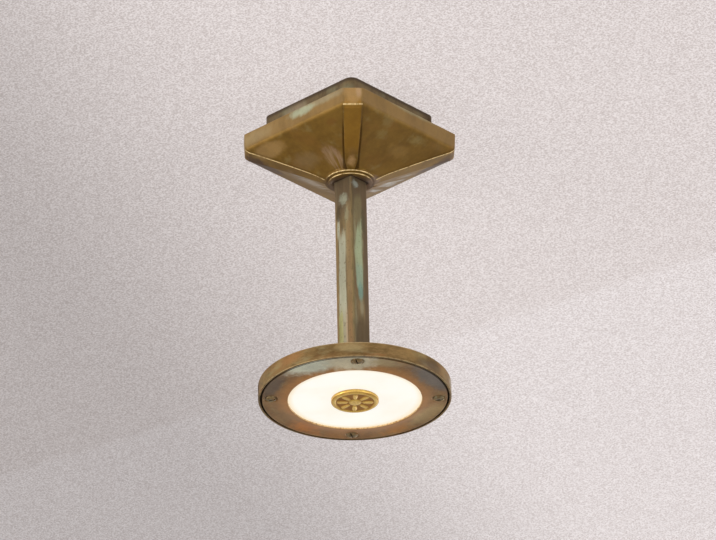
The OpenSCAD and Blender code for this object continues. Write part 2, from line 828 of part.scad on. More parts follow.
module cover_screws() {
  color("goldenrod") translate([0, 0, head_low + sink_d]) at_cover_screws() rotate(-20)
    screw_up(cover_screw_r, head_h - head_plate - sink_d, cover_head_r, cover_head_h);
}

module medallion() {
  rim = 1.2;
  high = glass_low - pad_t;
  color("gold") translate([0, 0, head_low + high]) {
    difference() {
      union() {
        rod(medal_r, -medal_t + 0.4, 0);
        translate([0, 0, -medal_t]) cylinder(r1 = medal_r - 0.4, r2 = medal_r, h = 0.4);
      }
      rotate_extrude() translate([medal_r * 0.55 + rim, -medal_t - 0.9]) circle(1.6, $fn = 48);
    }
    rotate_extrude() translate([medal_r - rim - 0.3, -medal_t]) circle(rim * 0.6, $fn = 48);
    for (i = [0 : petals_n - 1]) rotate((i + 0.5) * 360 / petals_n) translate([0, 0, -medal_t]) petal();
    translate([0, 0, -medal_t]) intersection() {
      translate([0, 0, 3.6]) sphere(r = 5, $fn = 72);
      translate([0, 0, -medal_relief * 2]) cylinder(r = 5, h = 3);
    }
    rod(stud_r, -over, stud_top - high);
  }
}

// One petal of the rosette: a long rounded bead that points outward
module petal() {
  inner = medal_r * 0.3;
  outer = medal_r * 0.78;
  intersection() {
    translate([(inner + outer) / 2, 0, 1.6]) rotate([0, 90, 0])
      cylinder(r = 1.6 + medal_relief * 0.8, h = outer - inner, center = true, $fn = 64);
    translate([inner, -medal_r / 2, -medal_relief]) cube([outer - inner, medal_r, 2 * medal_relief]);
  }
}

module medallion_pad() {
  color("dimgray") tube(medal_r - 1, stud_r + screw_gap, head_low + glass_low - pad_t, head_low + glass_low);
}

module medallion_washers() {
  low = head_low + glass_high;
  color("silver") {
    tube(6, stud_r + screw_gap, low, low + stud_pad_t - 0.05);
    tube(5, stud_r + screw_gap, low + stud_pad_t, low + stud_pad_t + stud_washer_t);
  }
}

module medallion_nut() {
  low = stud_pad_t + stud_washer_t + glass_high;
  color("gold") translate([0, 0, head_low]) hex_nut(stud_nut_flats, stud_r + plug_gap, low, low + stud_nut_h);
}

ceiling_seal();
ceiling_base();
cable_grommet();
hanger_bar();
hanger_screws();
upper_nipple();
upper_washer();
upper_nut();
upper_plug();
terminal_block();
terminal_screws();
led_driver();
driver_screws();
earth_screw();
earth_lug();
live_wire();
neutral_wire();
earth_wire();
led_wire_red();
led_wire_black();
stem();
lower_plug();
lower_nipple();
lower_washer();
lower_nut();
head_pan();
led_board();
led_chips();
board_screws();
reflector();
canopy();
canopy_top_ring();
canopy_grub_screw();
stem_seal();
cover_ring();
cover_glass();
glass_gasket();
cover_screws();
medallion();
medallion_pad();
medallion_washers();
medallion_nut();
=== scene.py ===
import math
import bmesh
import bpy
from mathutils import Matrix, Vector, noise


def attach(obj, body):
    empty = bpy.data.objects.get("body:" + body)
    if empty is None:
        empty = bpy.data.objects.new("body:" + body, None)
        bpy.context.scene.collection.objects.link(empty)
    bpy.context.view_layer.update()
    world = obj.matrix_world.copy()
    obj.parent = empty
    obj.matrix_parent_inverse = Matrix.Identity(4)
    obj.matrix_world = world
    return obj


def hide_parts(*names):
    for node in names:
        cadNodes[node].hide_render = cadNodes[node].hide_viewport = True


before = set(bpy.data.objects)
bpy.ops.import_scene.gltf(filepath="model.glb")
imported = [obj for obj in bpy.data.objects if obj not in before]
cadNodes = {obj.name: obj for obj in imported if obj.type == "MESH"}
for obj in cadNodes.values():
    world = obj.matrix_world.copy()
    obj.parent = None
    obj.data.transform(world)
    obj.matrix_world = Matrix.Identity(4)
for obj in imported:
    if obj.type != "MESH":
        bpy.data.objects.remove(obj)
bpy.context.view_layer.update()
mm = 0.001
headLow = -215.5       # height of the head's rim, which the cover's heights are measured from


def tone(red, green, blue):
    # a screen colour from 0 to 255, as the linear colour that sockets take
    def linear(value):
        value /= 255
        return value / 12.92 if value <= 0.04045 else ((value + 0.055) / 1.055) ** 2.4
    return (linear(red), linear(green), linear(blue), 1)


def shaded(colour, share):
    return tuple(v * share for v in colour[:3]) + (1,)


class Paint:
    # one procedural material; its helpers add nodes and return their output sockets

    def __init__(self, name):
        self.material = bpy.data.materials.new(name)
        self.material.use_nodes = True
        self.tree = self.material.node_tree
        self.tree.nodes.clear()
        self.shader = self.add("ShaderNodeBsdfPrincipled")
        self.end = self.add("ShaderNodeOutputMaterial")
        self.put(self.end.inputs["Surface"], self.shader.outputs[0])
        self.place = self.add("ShaderNodeTexCoord").outputs["Object"]

    def add(self, kind, **settings):
        node = self.tree.nodes.new(kind)
        for key, value in settings.items():
            setattr(node, key, value)
        return node

    def put(self, socket, value):
        if isinstance(value, bpy.types.NodeSocket):
            self.tree.links.new(value, socket)
        else:
            socket.default_value = value

    def fill(self, node, **entries):
        # sets or links a node's inputs by name, with _ where the name has a space
        for key, entry in entries.items():
            self.put(node.inputs[key.replace("_", " ")], entry)
        return node

    def set(self, **values):
        self.fill(self.shader, **values)

    def calc(self, operation, a, b=0.0):
        node = self.add("ShaderNodeMath", operation=operation)
        self.put(node.inputs[0], a)
        self.put(node.inputs[1], b)
        return node.outputs[0]

    def plus(self, a, b, share):
        # a and a share of b
        return self.calc("ADD", a, self.calc("MULTIPLY", b, share))

    def vector(self, operation, a, b=(0, 0, 0), out=0):
        node = self.add("ShaderNodeVectorMath", operation=operation)
        self.put(node.inputs[0], a)
        self.put(node.inputs[1], b)
        return node.outputs[out]

    def fit(self, value, low, high, start=0.0, end=1.0):
        node = self.add("ShaderNodeMapRange", interpolation_type="SMOOTHSTEP")
        self.fill(node, Value=value, From_Min=low, From_Max=high, To_Min=start, To_Max=end)
        return node.outputs[0]

    def mix(self, factor, a, b, how="MIX"):
        node = self.add("ShaderNodeMix", data_type="RGBA", blend_type=how)
        for index, entry in ((0, factor), (6, a), (7, b)):
            self.put(node.inputs[index], entry)
        return node.outputs[2]

    def blend(self, factor, first, second):
        # mixes two shader nodes, and returns the node
        node = self.add("ShaderNodeMixShader")
        for index, entry in enumerate((factor, first.outputs[0], second.outputs[0])):
            self.put(node.inputs[index], entry)
        return node

    def noiseAt(self, spot, detail, rough):
        node = self.add("ShaderNodeTexNoise")
        self.fill(node, Vector=spot, Scale=1.0, Detail=detail, Roughness=rough)
        return node.outputs[0]

    def grain(self, size, detail=3.0, rough=0.55, stretch=(1, 1, 1), shift=0.0):
        # noise with features about size millimetres across
        spot = self.vector("MULTIPLY", self.place, Vector(stretch) / (size * mm))
        return self.noiseAt(self.vector("ADD", spot, (shift, shift, shift)), detail, rough)

    def fromAxis(self, unit=1.0):
        # the place with its height left out, and its distance from the lamp's axis
        flat = self.vector("MULTIPLY", self.place, (unit, unit, 0))
        return flat, self.vector("LENGTH", flat, out=1)

    def fan(self, turns, run, shift=0.0):
        # noise that follows the lamp's axis: turns sets its detail round the axis, run along the radius
        flat, away = self.fromAxis()
        heading = self.vector("MULTIPLY", self.vector("NORMALIZE", flat), (turns, turns, turns))
        spot = self.add("ShaderNodeCombineXYZ")
        self.fill(spot, X=shift, Z=self.calc("MULTIPLY", away, run))
        return self.noiseAt(self.vector("ADD", heading, spot.outputs[0]), 4.0, 0.6)

    def blot(self, centre, size, soft=0.5, ragged=0.4, grain=5.0, shift=0.0, rays=0.0, square=0, turn=0.0,
             stretch=(1, 1, 1)):
        # a soft ragged patch round a point, with its half sizes in millimetres, turned about the upright;
        # square makes it less round and rays breaks it into a fan
        away = self.vector("SUBTRACT", self.place, Vector(centre) * mm)
        if turn:
            node = self.add("ShaderNodeVectorRotate", rotation_type="Z_AXIS")
            self.fill(node, Vector=away, Angle=math.radians(-turn))
            away = node.outputs[0]
        away = self.vector("DIVIDE", away, Vector(size) * mm)
        for _ in range(square):
            away = self.vector("MULTIPLY", away, away)
        away = self.vector("LENGTH", away, out=1)
        if square:
            away = self.calc("POWER", away, 0.5 ** square)
        wobble = self.calc("SUBTRACT", self.grain(grain, 4, 0.6, stretch, shift), 0.5)
        mask = self.fit(self.plus(away, wobble, 2 * ragged), 1.0, 1.0 - soft)
        if not rays:
            return mask
        return self.calc("MULTIPLY", mask, self.fit(self.fan(rays, 22.0, shift), 0.42, 0.6))

    def attribute(self, name):
        return self.add("ShaderNodeAttribute", attribute_name=name).outputs["Fac"]

    def crevice(self, reach, low=0.55, high=0.95):
        node = self.add("ShaderNodeAmbientOcclusion", only_local=True, samples=6)
        self.put(node.inputs["Distance"], reach * mm)
        return self.fit(node.outputs["AO"], high, low)

    def softNormal(self, radius):
        node = self.add("ShaderNodeBevel", samples=6)
        self.put(node.inputs["Radius"], radius * mm)
        return node.outputs[0]

    def edges(self, radius, low=0.01, high=0.12):
        # how far the surface bends within radius: bright on the edges of a plain CAD node
        soft = self.softNormal(radius)
        plain = self.add("ShaderNodeNewGeometry").outputs["Normal"]
        turn = self.vector("DOT_PRODUCT", soft, plain, out=1)
        return self.fit(turn, 1.0 - low, 1.0 - high), soft

    def bump(self, height, depth, strength=1.0, under=None):
        node = self.add("ShaderNodeBump")
        self.fill(node, Height=height, Distance=depth * mm, Strength=strength)
        if under is not None:
            self.put(node.inputs["Normal"], under)
        self.put(self.shader.inputs["Normal"], node.outputs[0])


# brass: what all its pieces share, and how one patch of it is written down

brass = {"broadShare": 0.62, "tint": (0.36, 0.64), "rustFrom": (0.5, 0.68), "streakSoft": 0.09,
         "shade": 0.86, "patchShade": 0.84, "pale": 1.08, "bandWave": 1.5, "haloWave": 4.0,
         "speckSize": 0.7, "speckFrom": (0.6, 0.72), "greenMetal": 0.15, "shine": 0.4, "mattShine": 0.05}


def patch(colour, at, size, depth, matt=False, **form):
    # a patch of colour, its middle and half sizes in millimetres; matt is thick dirt, which doesn't shine
    return {"colour": tone(*colour), "at": at, "size": size, "depth": depth, "matt": matt, "form": form}


def agedBrass(name, look, cadEdges=False):
    # old brass: mottled brown and gold, streaks of pale verdigris, dirt and painted shade in the hollows and
    # grooves, rubbed edges, on some sides painted highlights
    paint = Paint(name)
    blotch, stretch = look["blotch"], look["stretch"]
    broad = paint.grain(blotch, 4, 0.6, stretch, 3.1)
    fine = paint.grain(blotch / 7, 5, 0.65, stretch, 7.7)
    speck = paint.grain(look.get("speckSize", brass["speckSize"]), 2, 0.5, shift=1.3)
    mottle = paint.plus(paint.calc("MULTIPLY", broad, brass["broadShare"]), fine, 1 - brass["broadShare"])
    tint = paint.fit(mottle, *brass["tint"])

    def covered(mask, shade, deep):
        # the colour so far under a mask of another, mottled like the metal
        return paint.mix(mask, colour, paint.mix(tint, shaded(shade, deep), shaded(shade, brass["pale"])))

    colour = paint.mix(tint, look["dark"], look["light"])
    rustMask = paint.fit(paint.grain(blotch * 0.8, 5, 0.62, stretch, 21.4), *brass["rustFrom"])
    colour = paint.mix(paint.calc("MULTIPLY", rustMask, look["rustShare"]), colour, look["rust"])
    if "turned" in look:
        streaks = paint.fan(*look["turned"])
    else:
        streaks = paint.grain(look["streakSize"], 4, 0.6, look["streakStretch"], 12.9)
    low, soft = 1.0 - look["patinaShare"], brass["streakSoft"]
    green = paint.calc("MULTIPLY", paint.fit(streaks, low - soft, low + soft), look["patinaDepth"])
    colour = paint.mix(green, colour, look["patina"])
    for shade, start, full, depth in look.get("bands", ()):       # by height in millimetres
        height = paint.vector("DOT_PRODUCT", paint.place, (0, 0, 1 / mm), out=1)
        height = paint.plus(height, paint.calc("SUBTRACT", broad, 0.5), brass["bandWave"])
        mask = paint.calc("MULTIPLY", paint.fit(height, start, full), depth)
        colour = covered(mask, shade, brass["shade"])
    # painted glow: a warm ring by radius, standing for light falling on the piece
    for shade, start, full, depth in look.get("paintedGlows", ()):       # by radius in millimetres
        _, away = paint.fromAxis(1 / mm)
        away, middle = paint.plus(away, broad, brass["haloWave"]), brass["haloWave"] / 2
        mask = paint.calc("MULTIPLY", paint.fit(away, start + middle, full + middle), depth)
        colour = covered(mask, shade, brass["shade"])
    matt = 0.0
    for count, spot in enumerate(look["patches"]):
        form = {"stretch": stretch, **spot["form"]}
        mask = paint.blot(spot["at"], spot["size"], shift=count * 1.7, **form)
        mask = paint.calc("MULTIPLY", mask, spot["depth"])
        colour = covered(mask, spot["colour"], brass["patchShade"])
        red, _, blue, _ = spot["colour"]
        if blue > 0.5 * red:       # pale green and grey patches are dull like verdigris
            green = paint.calc("MAXIMUM", green, mask)
        if spot["matt"]:
            matt = paint.calc("MAXIMUM", matt, mask)
    specks = paint.calc("MULTIPLY", paint.fit(speck, *brass["speckFrom"]), look["speckShare"])
    colour = paint.mix(specks, colour, look["dark"])
    # painted shade with some dirt: hollows darkened by ambient occlusion, and a painted shadow in the
    # grooves and gaps marked below 0
    dirtAndShade = paint.calc("MULTIPLY", paint.crevice(look["dirtAndShadeReach"]), look["dirtAndShadeDepth"])
    wearHighlightShade = paint.attribute("wearHighlightShade")
    dirtAndShade = paint.calc("MAXIMUM", dirtAndShade, paint.fit(wearHighlightShade, -0.15, -0.9, 0.0, look["grooveShadeDepth"]))
    colour = paint.mix(dirtAndShade, colour, look["dirtAndShade"])
    # gold on the rubbed edges, which on the edges marked for it is a painted highlight
    edgeMask, edgeNormal = paint.edges(look["edgeWidth"]) if cadEdges else (paint.fit(wearHighlightShade, 0.1, 0.85), None)
    rubbedAndHighlit = paint.calc("MULTIPLY", edgeMask, paint.fit(fine, 0.3, 0.55))
    colour = paint.mix(paint.calc("MULTIPLY", rubbedAndHighlit, look["wearAndHighlightShare"]), colour, look["gold"])
    matt = paint.calc("MAXIMUM", matt, dirtAndShade)
    dull = paint.calc("MAXIMUM", green, matt)
    smooth = paint.calc("MULTIPLY_ADD", fine, 0.25)
    smooth.node.inputs[2].default_value = look["rough"] - 0.12
    paint.set(Base_Color=colour,
              Metallic=paint.fit(dull, 0.05, 0.9, look["metal"], brass["greenMetal"]),
              Specular_IOR_Level=paint.fit(matt, 0.1, 0.9, brass["shine"], brass["mattShine"]),
              Roughness=paint.plus(smooth, dull, 0.25))
    relief = paint.plus(paint.calc("MULTIPLY", fine, 0.6), speck, 0.25)
    paint.bump(paint.plus(relief, green, 0.35), look["relief"], 0.8, edgeNormal)
    return paint.material


# points, faces and marks of wear and painted light of a mesh go together as one part


def addObject(name, data):
    thing = bpy.data.objects.new(name, data)
    bpy.context.scene.collection.objects.link(thing)
    return thing


def outwardMesh(name, verts, faces):
    # a mesh from points in millimetres, with its faces turned outwards
    mesh = bpy.data.meshes.new(name)
    mesh.from_pydata([Vector(v) * mm for v in verts], [], faces)
    form = bmesh.new()
    form.from_mesh(mesh)
    bmesh.ops.recalc_face_normals(form, faces=form.faces)
    form.to_mesh(mesh)
    form.free()
    return mesh


def addPiece(name, part, paint, stands, body="lamp", weighted=True):
    # a mesh piece that rides on a body and stands for a CAD node
    verts, faces, wearHighlightShade = part
    mesh = outwardMesh(name, verts, faces)
    if any(wearHighlightShade):
        mesh.attributes.new("wearHighlightShade", "FLOAT", "POINT").data.foreach_set("value", wearHighlightShade)
    mesh.shade_smooth()
    mesh.materials.append(paint)
    piece = addObject(name, mesh)
    if weighted:
        piece.modifiers.new("evenShading", "WEIGHTED_NORMAL").weight = 80
    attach(piece, body)
    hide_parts(stands)
    return piece


def soften(corners, steps=4):
    # rounds the corners of a closed outline; a corner is x, z, radius and its mark: gold wear and painted
    # highlight above 0, painted shade below 0
    points = []
    total = len(corners)
    for i, (x, z, radius, wearHighlightShade, *kind) in enumerate(corners):
        here = Vector((x, z))
        if radius == 0:
            points.append((x, z, wearHighlightShade, *kind))
            continue
        before = Vector(corners[i - 1][:2]) - here
        after = Vector(corners[(i + 1) % total][:2]) - here
        a = here + before.normalized() * min(radius, 0.45 * before.length)
        b = here + after.normalized() * min(radius, 0.45 * after.length)
        for k in range(steps + 1):
            t = k / steps
            p = a * (1 - t) ** 2 + here * 2 * t * (1 - t) + b * t ** 2
            points.append((p.x, p.y, wearHighlightShade * math.sin(math.pi * t), *kind))
    return points


def circleOrSquare(size, z, corner, count):
    # a ring of count points by even angles: a circle, or a rounded square when corner is above 0
    ring = []
    for i in range(count):
        angle = 2 * math.pi * (i + 0.5) / count
        c, s = math.cos(angle), math.sin(angle)
        reach = size
        if corner:
            big, small = max(abs(c), abs(s)), min(abs(c), abs(s))
            reach = size / big
            flat = size - corner
            if small / big * size > flat:
                middle = (big + small) * flat
                reach = middle + math.sqrt(max(0, middle ** 2 - 2 * flat ** 2 + corner ** 2))
        ring.append((reach * c, reach * s, z))
    return ring


def loft(rings, wearOf, closed=True):
    # skins rings of the same count; closed joins the last ring to the first
    count = len(rings[0])
    verts = [p for ring in rings for p in ring]
    faces = []
    for i in range(len(rings) if closed else len(rings) - 1):
        a, b = i * count, (i + 1) % len(rings) * count
        for k in range(count):
            n = (k + 1) % count
            faces.append((a + k, a + n, b + n, b + k))
    wearHighlightShade = [w for ring in wearOf for w in (ring if isinstance(ring, list) else [ring] * count)]
    return verts, faces, wearHighlightShade


def spin(profile, count, base=0.0):
    # turns a closed profile of (size, z, mark of wear and painted light[, square corner]) about the axis
    rings = [circleOrSquare(p[0], p[1] + base, p[3] if len(p) > 3 else 0, count) for p in profile]
    return loft(rings, [p[2] for p in profile])


def capped(rings, wearOf, first, last):
    # skins rings and closes both ends with a point on the axis, each given by its height and its mark of
    # wear and painted light
    verts, faces, wearHighlightShade = loft(rings, wearOf, closed=False)
    count = len(rings[0])
    for (z, poleWear), ring in ((first, 0), (last, len(rings) - 1)):
        verts.append((0, 0, z))
        wearHighlightShade.append(poleWear)
        faces += [(len(verts) - 1, ring * count + (k + 1) % count, ring * count + k) for k in range(count)]
    return verts, faces, wearHighlightShade


def dome(profile, count, base=0.0):
    # turns an open profile of (size, z, mark of wear and painted light) that starts and ends on the axis
    rings = [circleOrSquare(p[0], p[1] + base, 0, count) for p in profile[1:-1]]
    ends = [(p[1] + base, p[2]) for p in (profile[0], profile[-1])]
    return capped(rings, [p[2] for p in profile[1:-1]], *ends)


def joined(*parts):
    # several shells as one set of points, faces and marks of wear and painted light
    verts, faces, wearHighlightShade = [], [], []
    for v, f, w in parts:
        start = len(verts)
        verts += v
        faces += [tuple(i + start for i in face) for face in f]
        wearHighlightShade += w
    return verts, faces, wearHighlightShade


def moved(part, shift, turn=0.0):
    c, s = math.cos(turn), math.sin(turn)
    verts, faces, wearHighlightShade = part
    verts = [(c * x - s * y + shift[0], s * x + c * y + shift[1], z + shift[2]) for x, y, z in verts]
    return verts, faces, wearHighlightShade


def carve(piece, part, name):
    # cuts closed shells out of a piece for good
    tool = addObject(name, outwardMesh(name, part[0], part[1]))
    cut = piece.modifiers.new("cut", "BOOLEAN")
    cut.object, cut.operation, cut.solver, cut.use_self = tool, "DIFFERENCE", "EXACT", True
    while piece.modifiers[0] != cut:
        piece.modifiers.move(piece.modifiers.find("cut"), 0)
    others = [m for m in piece.modifiers if m != cut]
    for m in others:
        m.show_viewport = False
    bpy.context.view_layer.update()
    final = bpy.data.meshes.new_from_object(piece.evaluated_get(bpy.context.evaluated_depsgraph_get()))
    piece.modifiers.remove(cut)
    for m in others:
        m.show_viewport = True
    piece.data = final
    final.shade_smooth()
    bpy.data.objects.remove(tool)


def highlightFrontShadeBehind(part, least, paintedShade=0.0, front=Vector((0.68, -0.73))):
    # painted light on a turned part: its rubbed edges are a painted highlight on the front side only, and
    # the share of painted shade darkens them behind
    verts, faces, wearHighlightShade = part
    shares = []
    for v in verts:
        flat = Vector(v[:2])
        facing = flat.normalized().dot(front) if flat.length > 0.01 else 0
        share = min(1.0, max(0.0, (facing + 0.1) / 0.8))
        shares.append(least + (1 - least) * share * share * (3 - 2 * share))
    wearHighlightShade = [w * (share - paintedShade * (1 - share)) if w > 0 else w for w, share in zip(wearHighlightShade, shares)]
    return verts, faces, wearHighlightShade


noise.seed_set(1)       # without it the waviness differs from run to run


def uneven(part, depth, size, shift=0.0):
    # the slight waviness of a casting
    def waved(v):
        place = Vector(v) / size + Vector((shift, shift, shift))
        return tuple(Vector(v) + noise.noise_vector(place) * depth)

    verts, faces, wearHighlightShade = part
    return [waved(v) for v in verts], faces, wearHighlightShade


# camera, fitted to the photograph

cameraLook = {"azimuth": 42.606, "below": 27.371, "roll": 1.251, "distance": 3590.0, "focus": -110.0,
              "shiftRight": -3.968, "shiftUp": 7.327, "lens": 265.5}
turn = math.radians(cameraLook["azimuth"])
tilt = math.radians(cameraLook["below"])
lean = math.radians(cameraLook["roll"])
forward = Vector((-math.sin(turn) * math.cos(tilt), math.cos(turn) * math.cos(tilt), math.sin(tilt)))
right = Vector((math.cos(turn), math.sin(turn), 0))
up = right.cross(forward)
eye = (Vector((0, 0, cameraLook["focus"])) - forward * cameraLook["distance"]
       - right * cameraLook["shiftRight"] - up * cameraLook["shiftUp"]) * mm
imageRight = right * math.cos(lean) - up * math.sin(lean)
imageUp = right * math.sin(lean) + up * math.cos(lean)
cameraData = bpy.data.cameras.new("camera")
cameraData.lens = cameraLook["lens"]
cameraData.sensor_width = 36
cameraData.clip_end = 100
camera = addObject("camera", cameraData)
camera.matrix_world = Matrix.Translation(eye) @ Matrix((imageRight, imageUp, -forward)).transposed().to_4x4()
bpy.context.scene.camera = camera
print("camera ready")

# stage: a plaster ceiling that is seen from below only, a pale floor, soft lamps

stageLook = {"reach": 12.0, "ceilingGap": 0.0004, "floorZ": -3.4, "plaster": tone(249, 241, 240),
             "plasterLow": tone(255, 248, 248), "floor": tone(225, 222, 220), "sky": tone(222, 218, 216),
             "worldStrength": 1.0, "seenShare": 0.8, "shadeFrom": 0.0, "shadeTo": -0.32, "shade": 0.64,
             "wallLine": ((-0.5037, 0.2395, 0), (-0.0214, 0.3206, 0))}
lamps = {      # place, size and power of each, and its colour
    "keyLamp": ((-0.7, -2.3, -0.75), 1.2, 40, (1.0, 0.98, 0.95)),
    "fillLamp": ((2.4, 0.4, -0.9), 1.4, 22, (1, 1, 1)),
    "backLamp": ((-0.6, 2.4, -0.3), 1.5, 13, (1, 1, 1)),
    "topLamp": ((0.4, -0.5, 2.2), 1.4, 22, (1, 1, 1)),
}


def stagePlane(name, z, facing, paint):
    r = stageLook["reach"]
    mesh = bpy.data.meshes.new(name)
    corners = [(-r, -r, z), (r, -r, z), (r, r, z), (-r, r, z)]
    mesh.from_pydata(corners if facing > 0 else corners[::-1], [], [(0, 1, 2, 3)])
    mesh.materials.append(paint)
    plane = addObject(name, mesh)
    plane.visible_shadow = False       # lamps behind it still reach the light


def plasterPaint(name, pale, low, line):
    # fine plaster, seen through from behind; past the line it takes the wall's tone
    paint = Paint(name)
    coarse = paint.grain(6, 4, 0.6, shift=2)
    fine = paint.grain(1.3, 2, 0.6, shift=5)
    colour = paint.mix(paint.fit(coarse, 0.3, 0.7), pale, shaded(pale, 0.97))
    if line:
        a, b = Vector(line[0]), Vector(line[1])
        along = (b - a).normalized()
        across = Vector((-along.y, along.x, 0))
        side = paint.calc("SUBTRACT", paint.vector("DOT_PRODUCT", paint.place, across, out=1), a.dot(across))
        wall = paint.mix(paint.fit(coarse, 0.3, 0.7), low, shaded(low, 0.97))
        colour = paint.mix(paint.fit(side, -0.004, 0.012), colour, wall)
        across = paint.vector("DOT_PRODUCT", paint.place, right - 0.35 * forward, out=1)
        shade = paint.fit(across, stageLook["shadeFrom"], stageLook["shadeTo"], 0.0, 1.0)
        colour = paint.mix(shade, colour, shaded((1, 1, 1), stageLook["shade"]), "MULTIPLY")
    colour = paint.mix(paint.fit(fine, 0.34, 0.66), colour, tone(217, 213, 211), "MULTIPLY")
    paint.set(Base_Color=colour, Roughness=0.95, Specular_IOR_Level=0.1)
    paint.bump(paint.plus(fine, coarse, 0.6), 0.5, 0.6)
    rays = paint.add("ShaderNodeLightPath")
    seen = paint.calc("MAXIMUM", rays.outputs["Is Camera Ray"], rays.outputs["Is Glossy Ray"])
    seen = paint.calc("MAXIMUM", seen, rays.outputs["Is Transmission Ray"])
    own = paint.add("ShaderNodeEmission")
    paint.put(own.inputs["Color"], colour)
    lit = paint.blend(paint.calc("MULTIPLY", seen, stageLook["seenShare"]), paint.shader, own)
    behind = paint.add("ShaderNodeNewGeometry").outputs["Backfacing"]
    choice = paint.blend(behind, lit, paint.add("ShaderNodeBsdfTransparent"))
    paint.put(paint.end.inputs["Surface"], choice.outputs[0])
    return paint.material


plaster = plasterPaint("plaster", stageLook["plaster"], stageLook["plasterLow"], stageLook["wallLine"])
stagePlane("ceilingPlane", stageLook["ceilingGap"], -1, plaster)
stagePlane("floorPlane", stageLook["floorZ"], 1,
           plasterPaint("floorPaint", stageLook["floor"], stageLook["floor"], None))

world = bpy.data.worlds.new("studio")
bpy.context.scene.world = world
world.use_nodes = True
worldNodes, worldLinks = world.node_tree.nodes, world.node_tree.links
worldNodes.clear()
skyLight = worldNodes.new("ShaderNodeBackground")
skyLight.inputs[0].default_value = (1, 1, 1, 1)
skyLight.inputs[1].default_value = stageLook["worldStrength"]
skySeen = worldNodes.new("ShaderNodeBackground")
skySeen.inputs[0].default_value = stageLook["sky"]
skySeen.inputs[1].default_value = 1.0
rays = worldNodes.new("ShaderNodeLightPath")
seen = worldNodes.new("ShaderNodeMath")
seen.operation = "MAXIMUM"
worldLinks.new(rays.outputs["Is Camera Ray"], seen.inputs[0])
worldLinks.new(rays.outputs["Is Transmission Ray"], seen.inputs[1])
either = worldNodes.new("ShaderNodeMixShader")
worldOut = worldNodes.new("ShaderNodeOutputWorld")
worldLinks.new(seen.outputs[0], either.inputs[0])
worldLinks.new(skyLight.outputs[0], either.inputs[1])
worldLinks.new(skySeen.outputs[0], either.inputs[2])
worldLinks.new(either.outputs[0], worldOut.inputs[0])

for name, (at, size, power, colour) in lamps.items():
    data = bpy.data.lights.new(name, "AREA")
    data.size, data.energy, data.color = size, power, colour
    lamp = addObject(name, data)
    lamp.location = at
    lamp.rotation_euler = (Vector((0, 0, -0.1)) - Vector(at)).to_track_quat("-Z", "Y").to_euler()
bpy.context.scene.view_settings.view_transform = "Standard"
print("stage ready")

# canopy: flared square casting with ribs, and the round boss it ends in

canopyForm = {"rimHalf": 56.3, "draft": 0.6, "cornerFlat": 14.2, "rimTop": -16.7, "rimFoot": -29.2,
              "flareFoot": -49.6, "faceEnd": 15.2, "chamferEnd": 17.3, "bow": 1.31, "ribStart": 69.7,
              "ribTop": -30.6, "ribFoot": -49.8, "ribEnd": 17.5, "ribBow": 1.15, "ribWidth": 13.0,
              "tipWidth": 5.4, "taperAt": 45.0, "tipAt": 18.8, "lift": 2.7, "innerHalf": 53.9,
              "seatHalf": 54.6, "seatZ": -18.7, "facePoints": 14, "waves": 0.05,
              "rimRound": 0.9, "footRound": (2.0, 1.0), "creaseRound": 0.7, "ribFootRound": 0.3,
              "ribEdgeRound": 0.95, "rimLevels": (1.6, 3, 5, 7, 9), "footHole": (12.6, 13.6),
              "bendStep": 0.35, "flareStep": 0.9, "innerStep": 1.5, "groove": 1.9, "nearCorner": 3,
              "highlightSides": ((0, True), (2, False))}
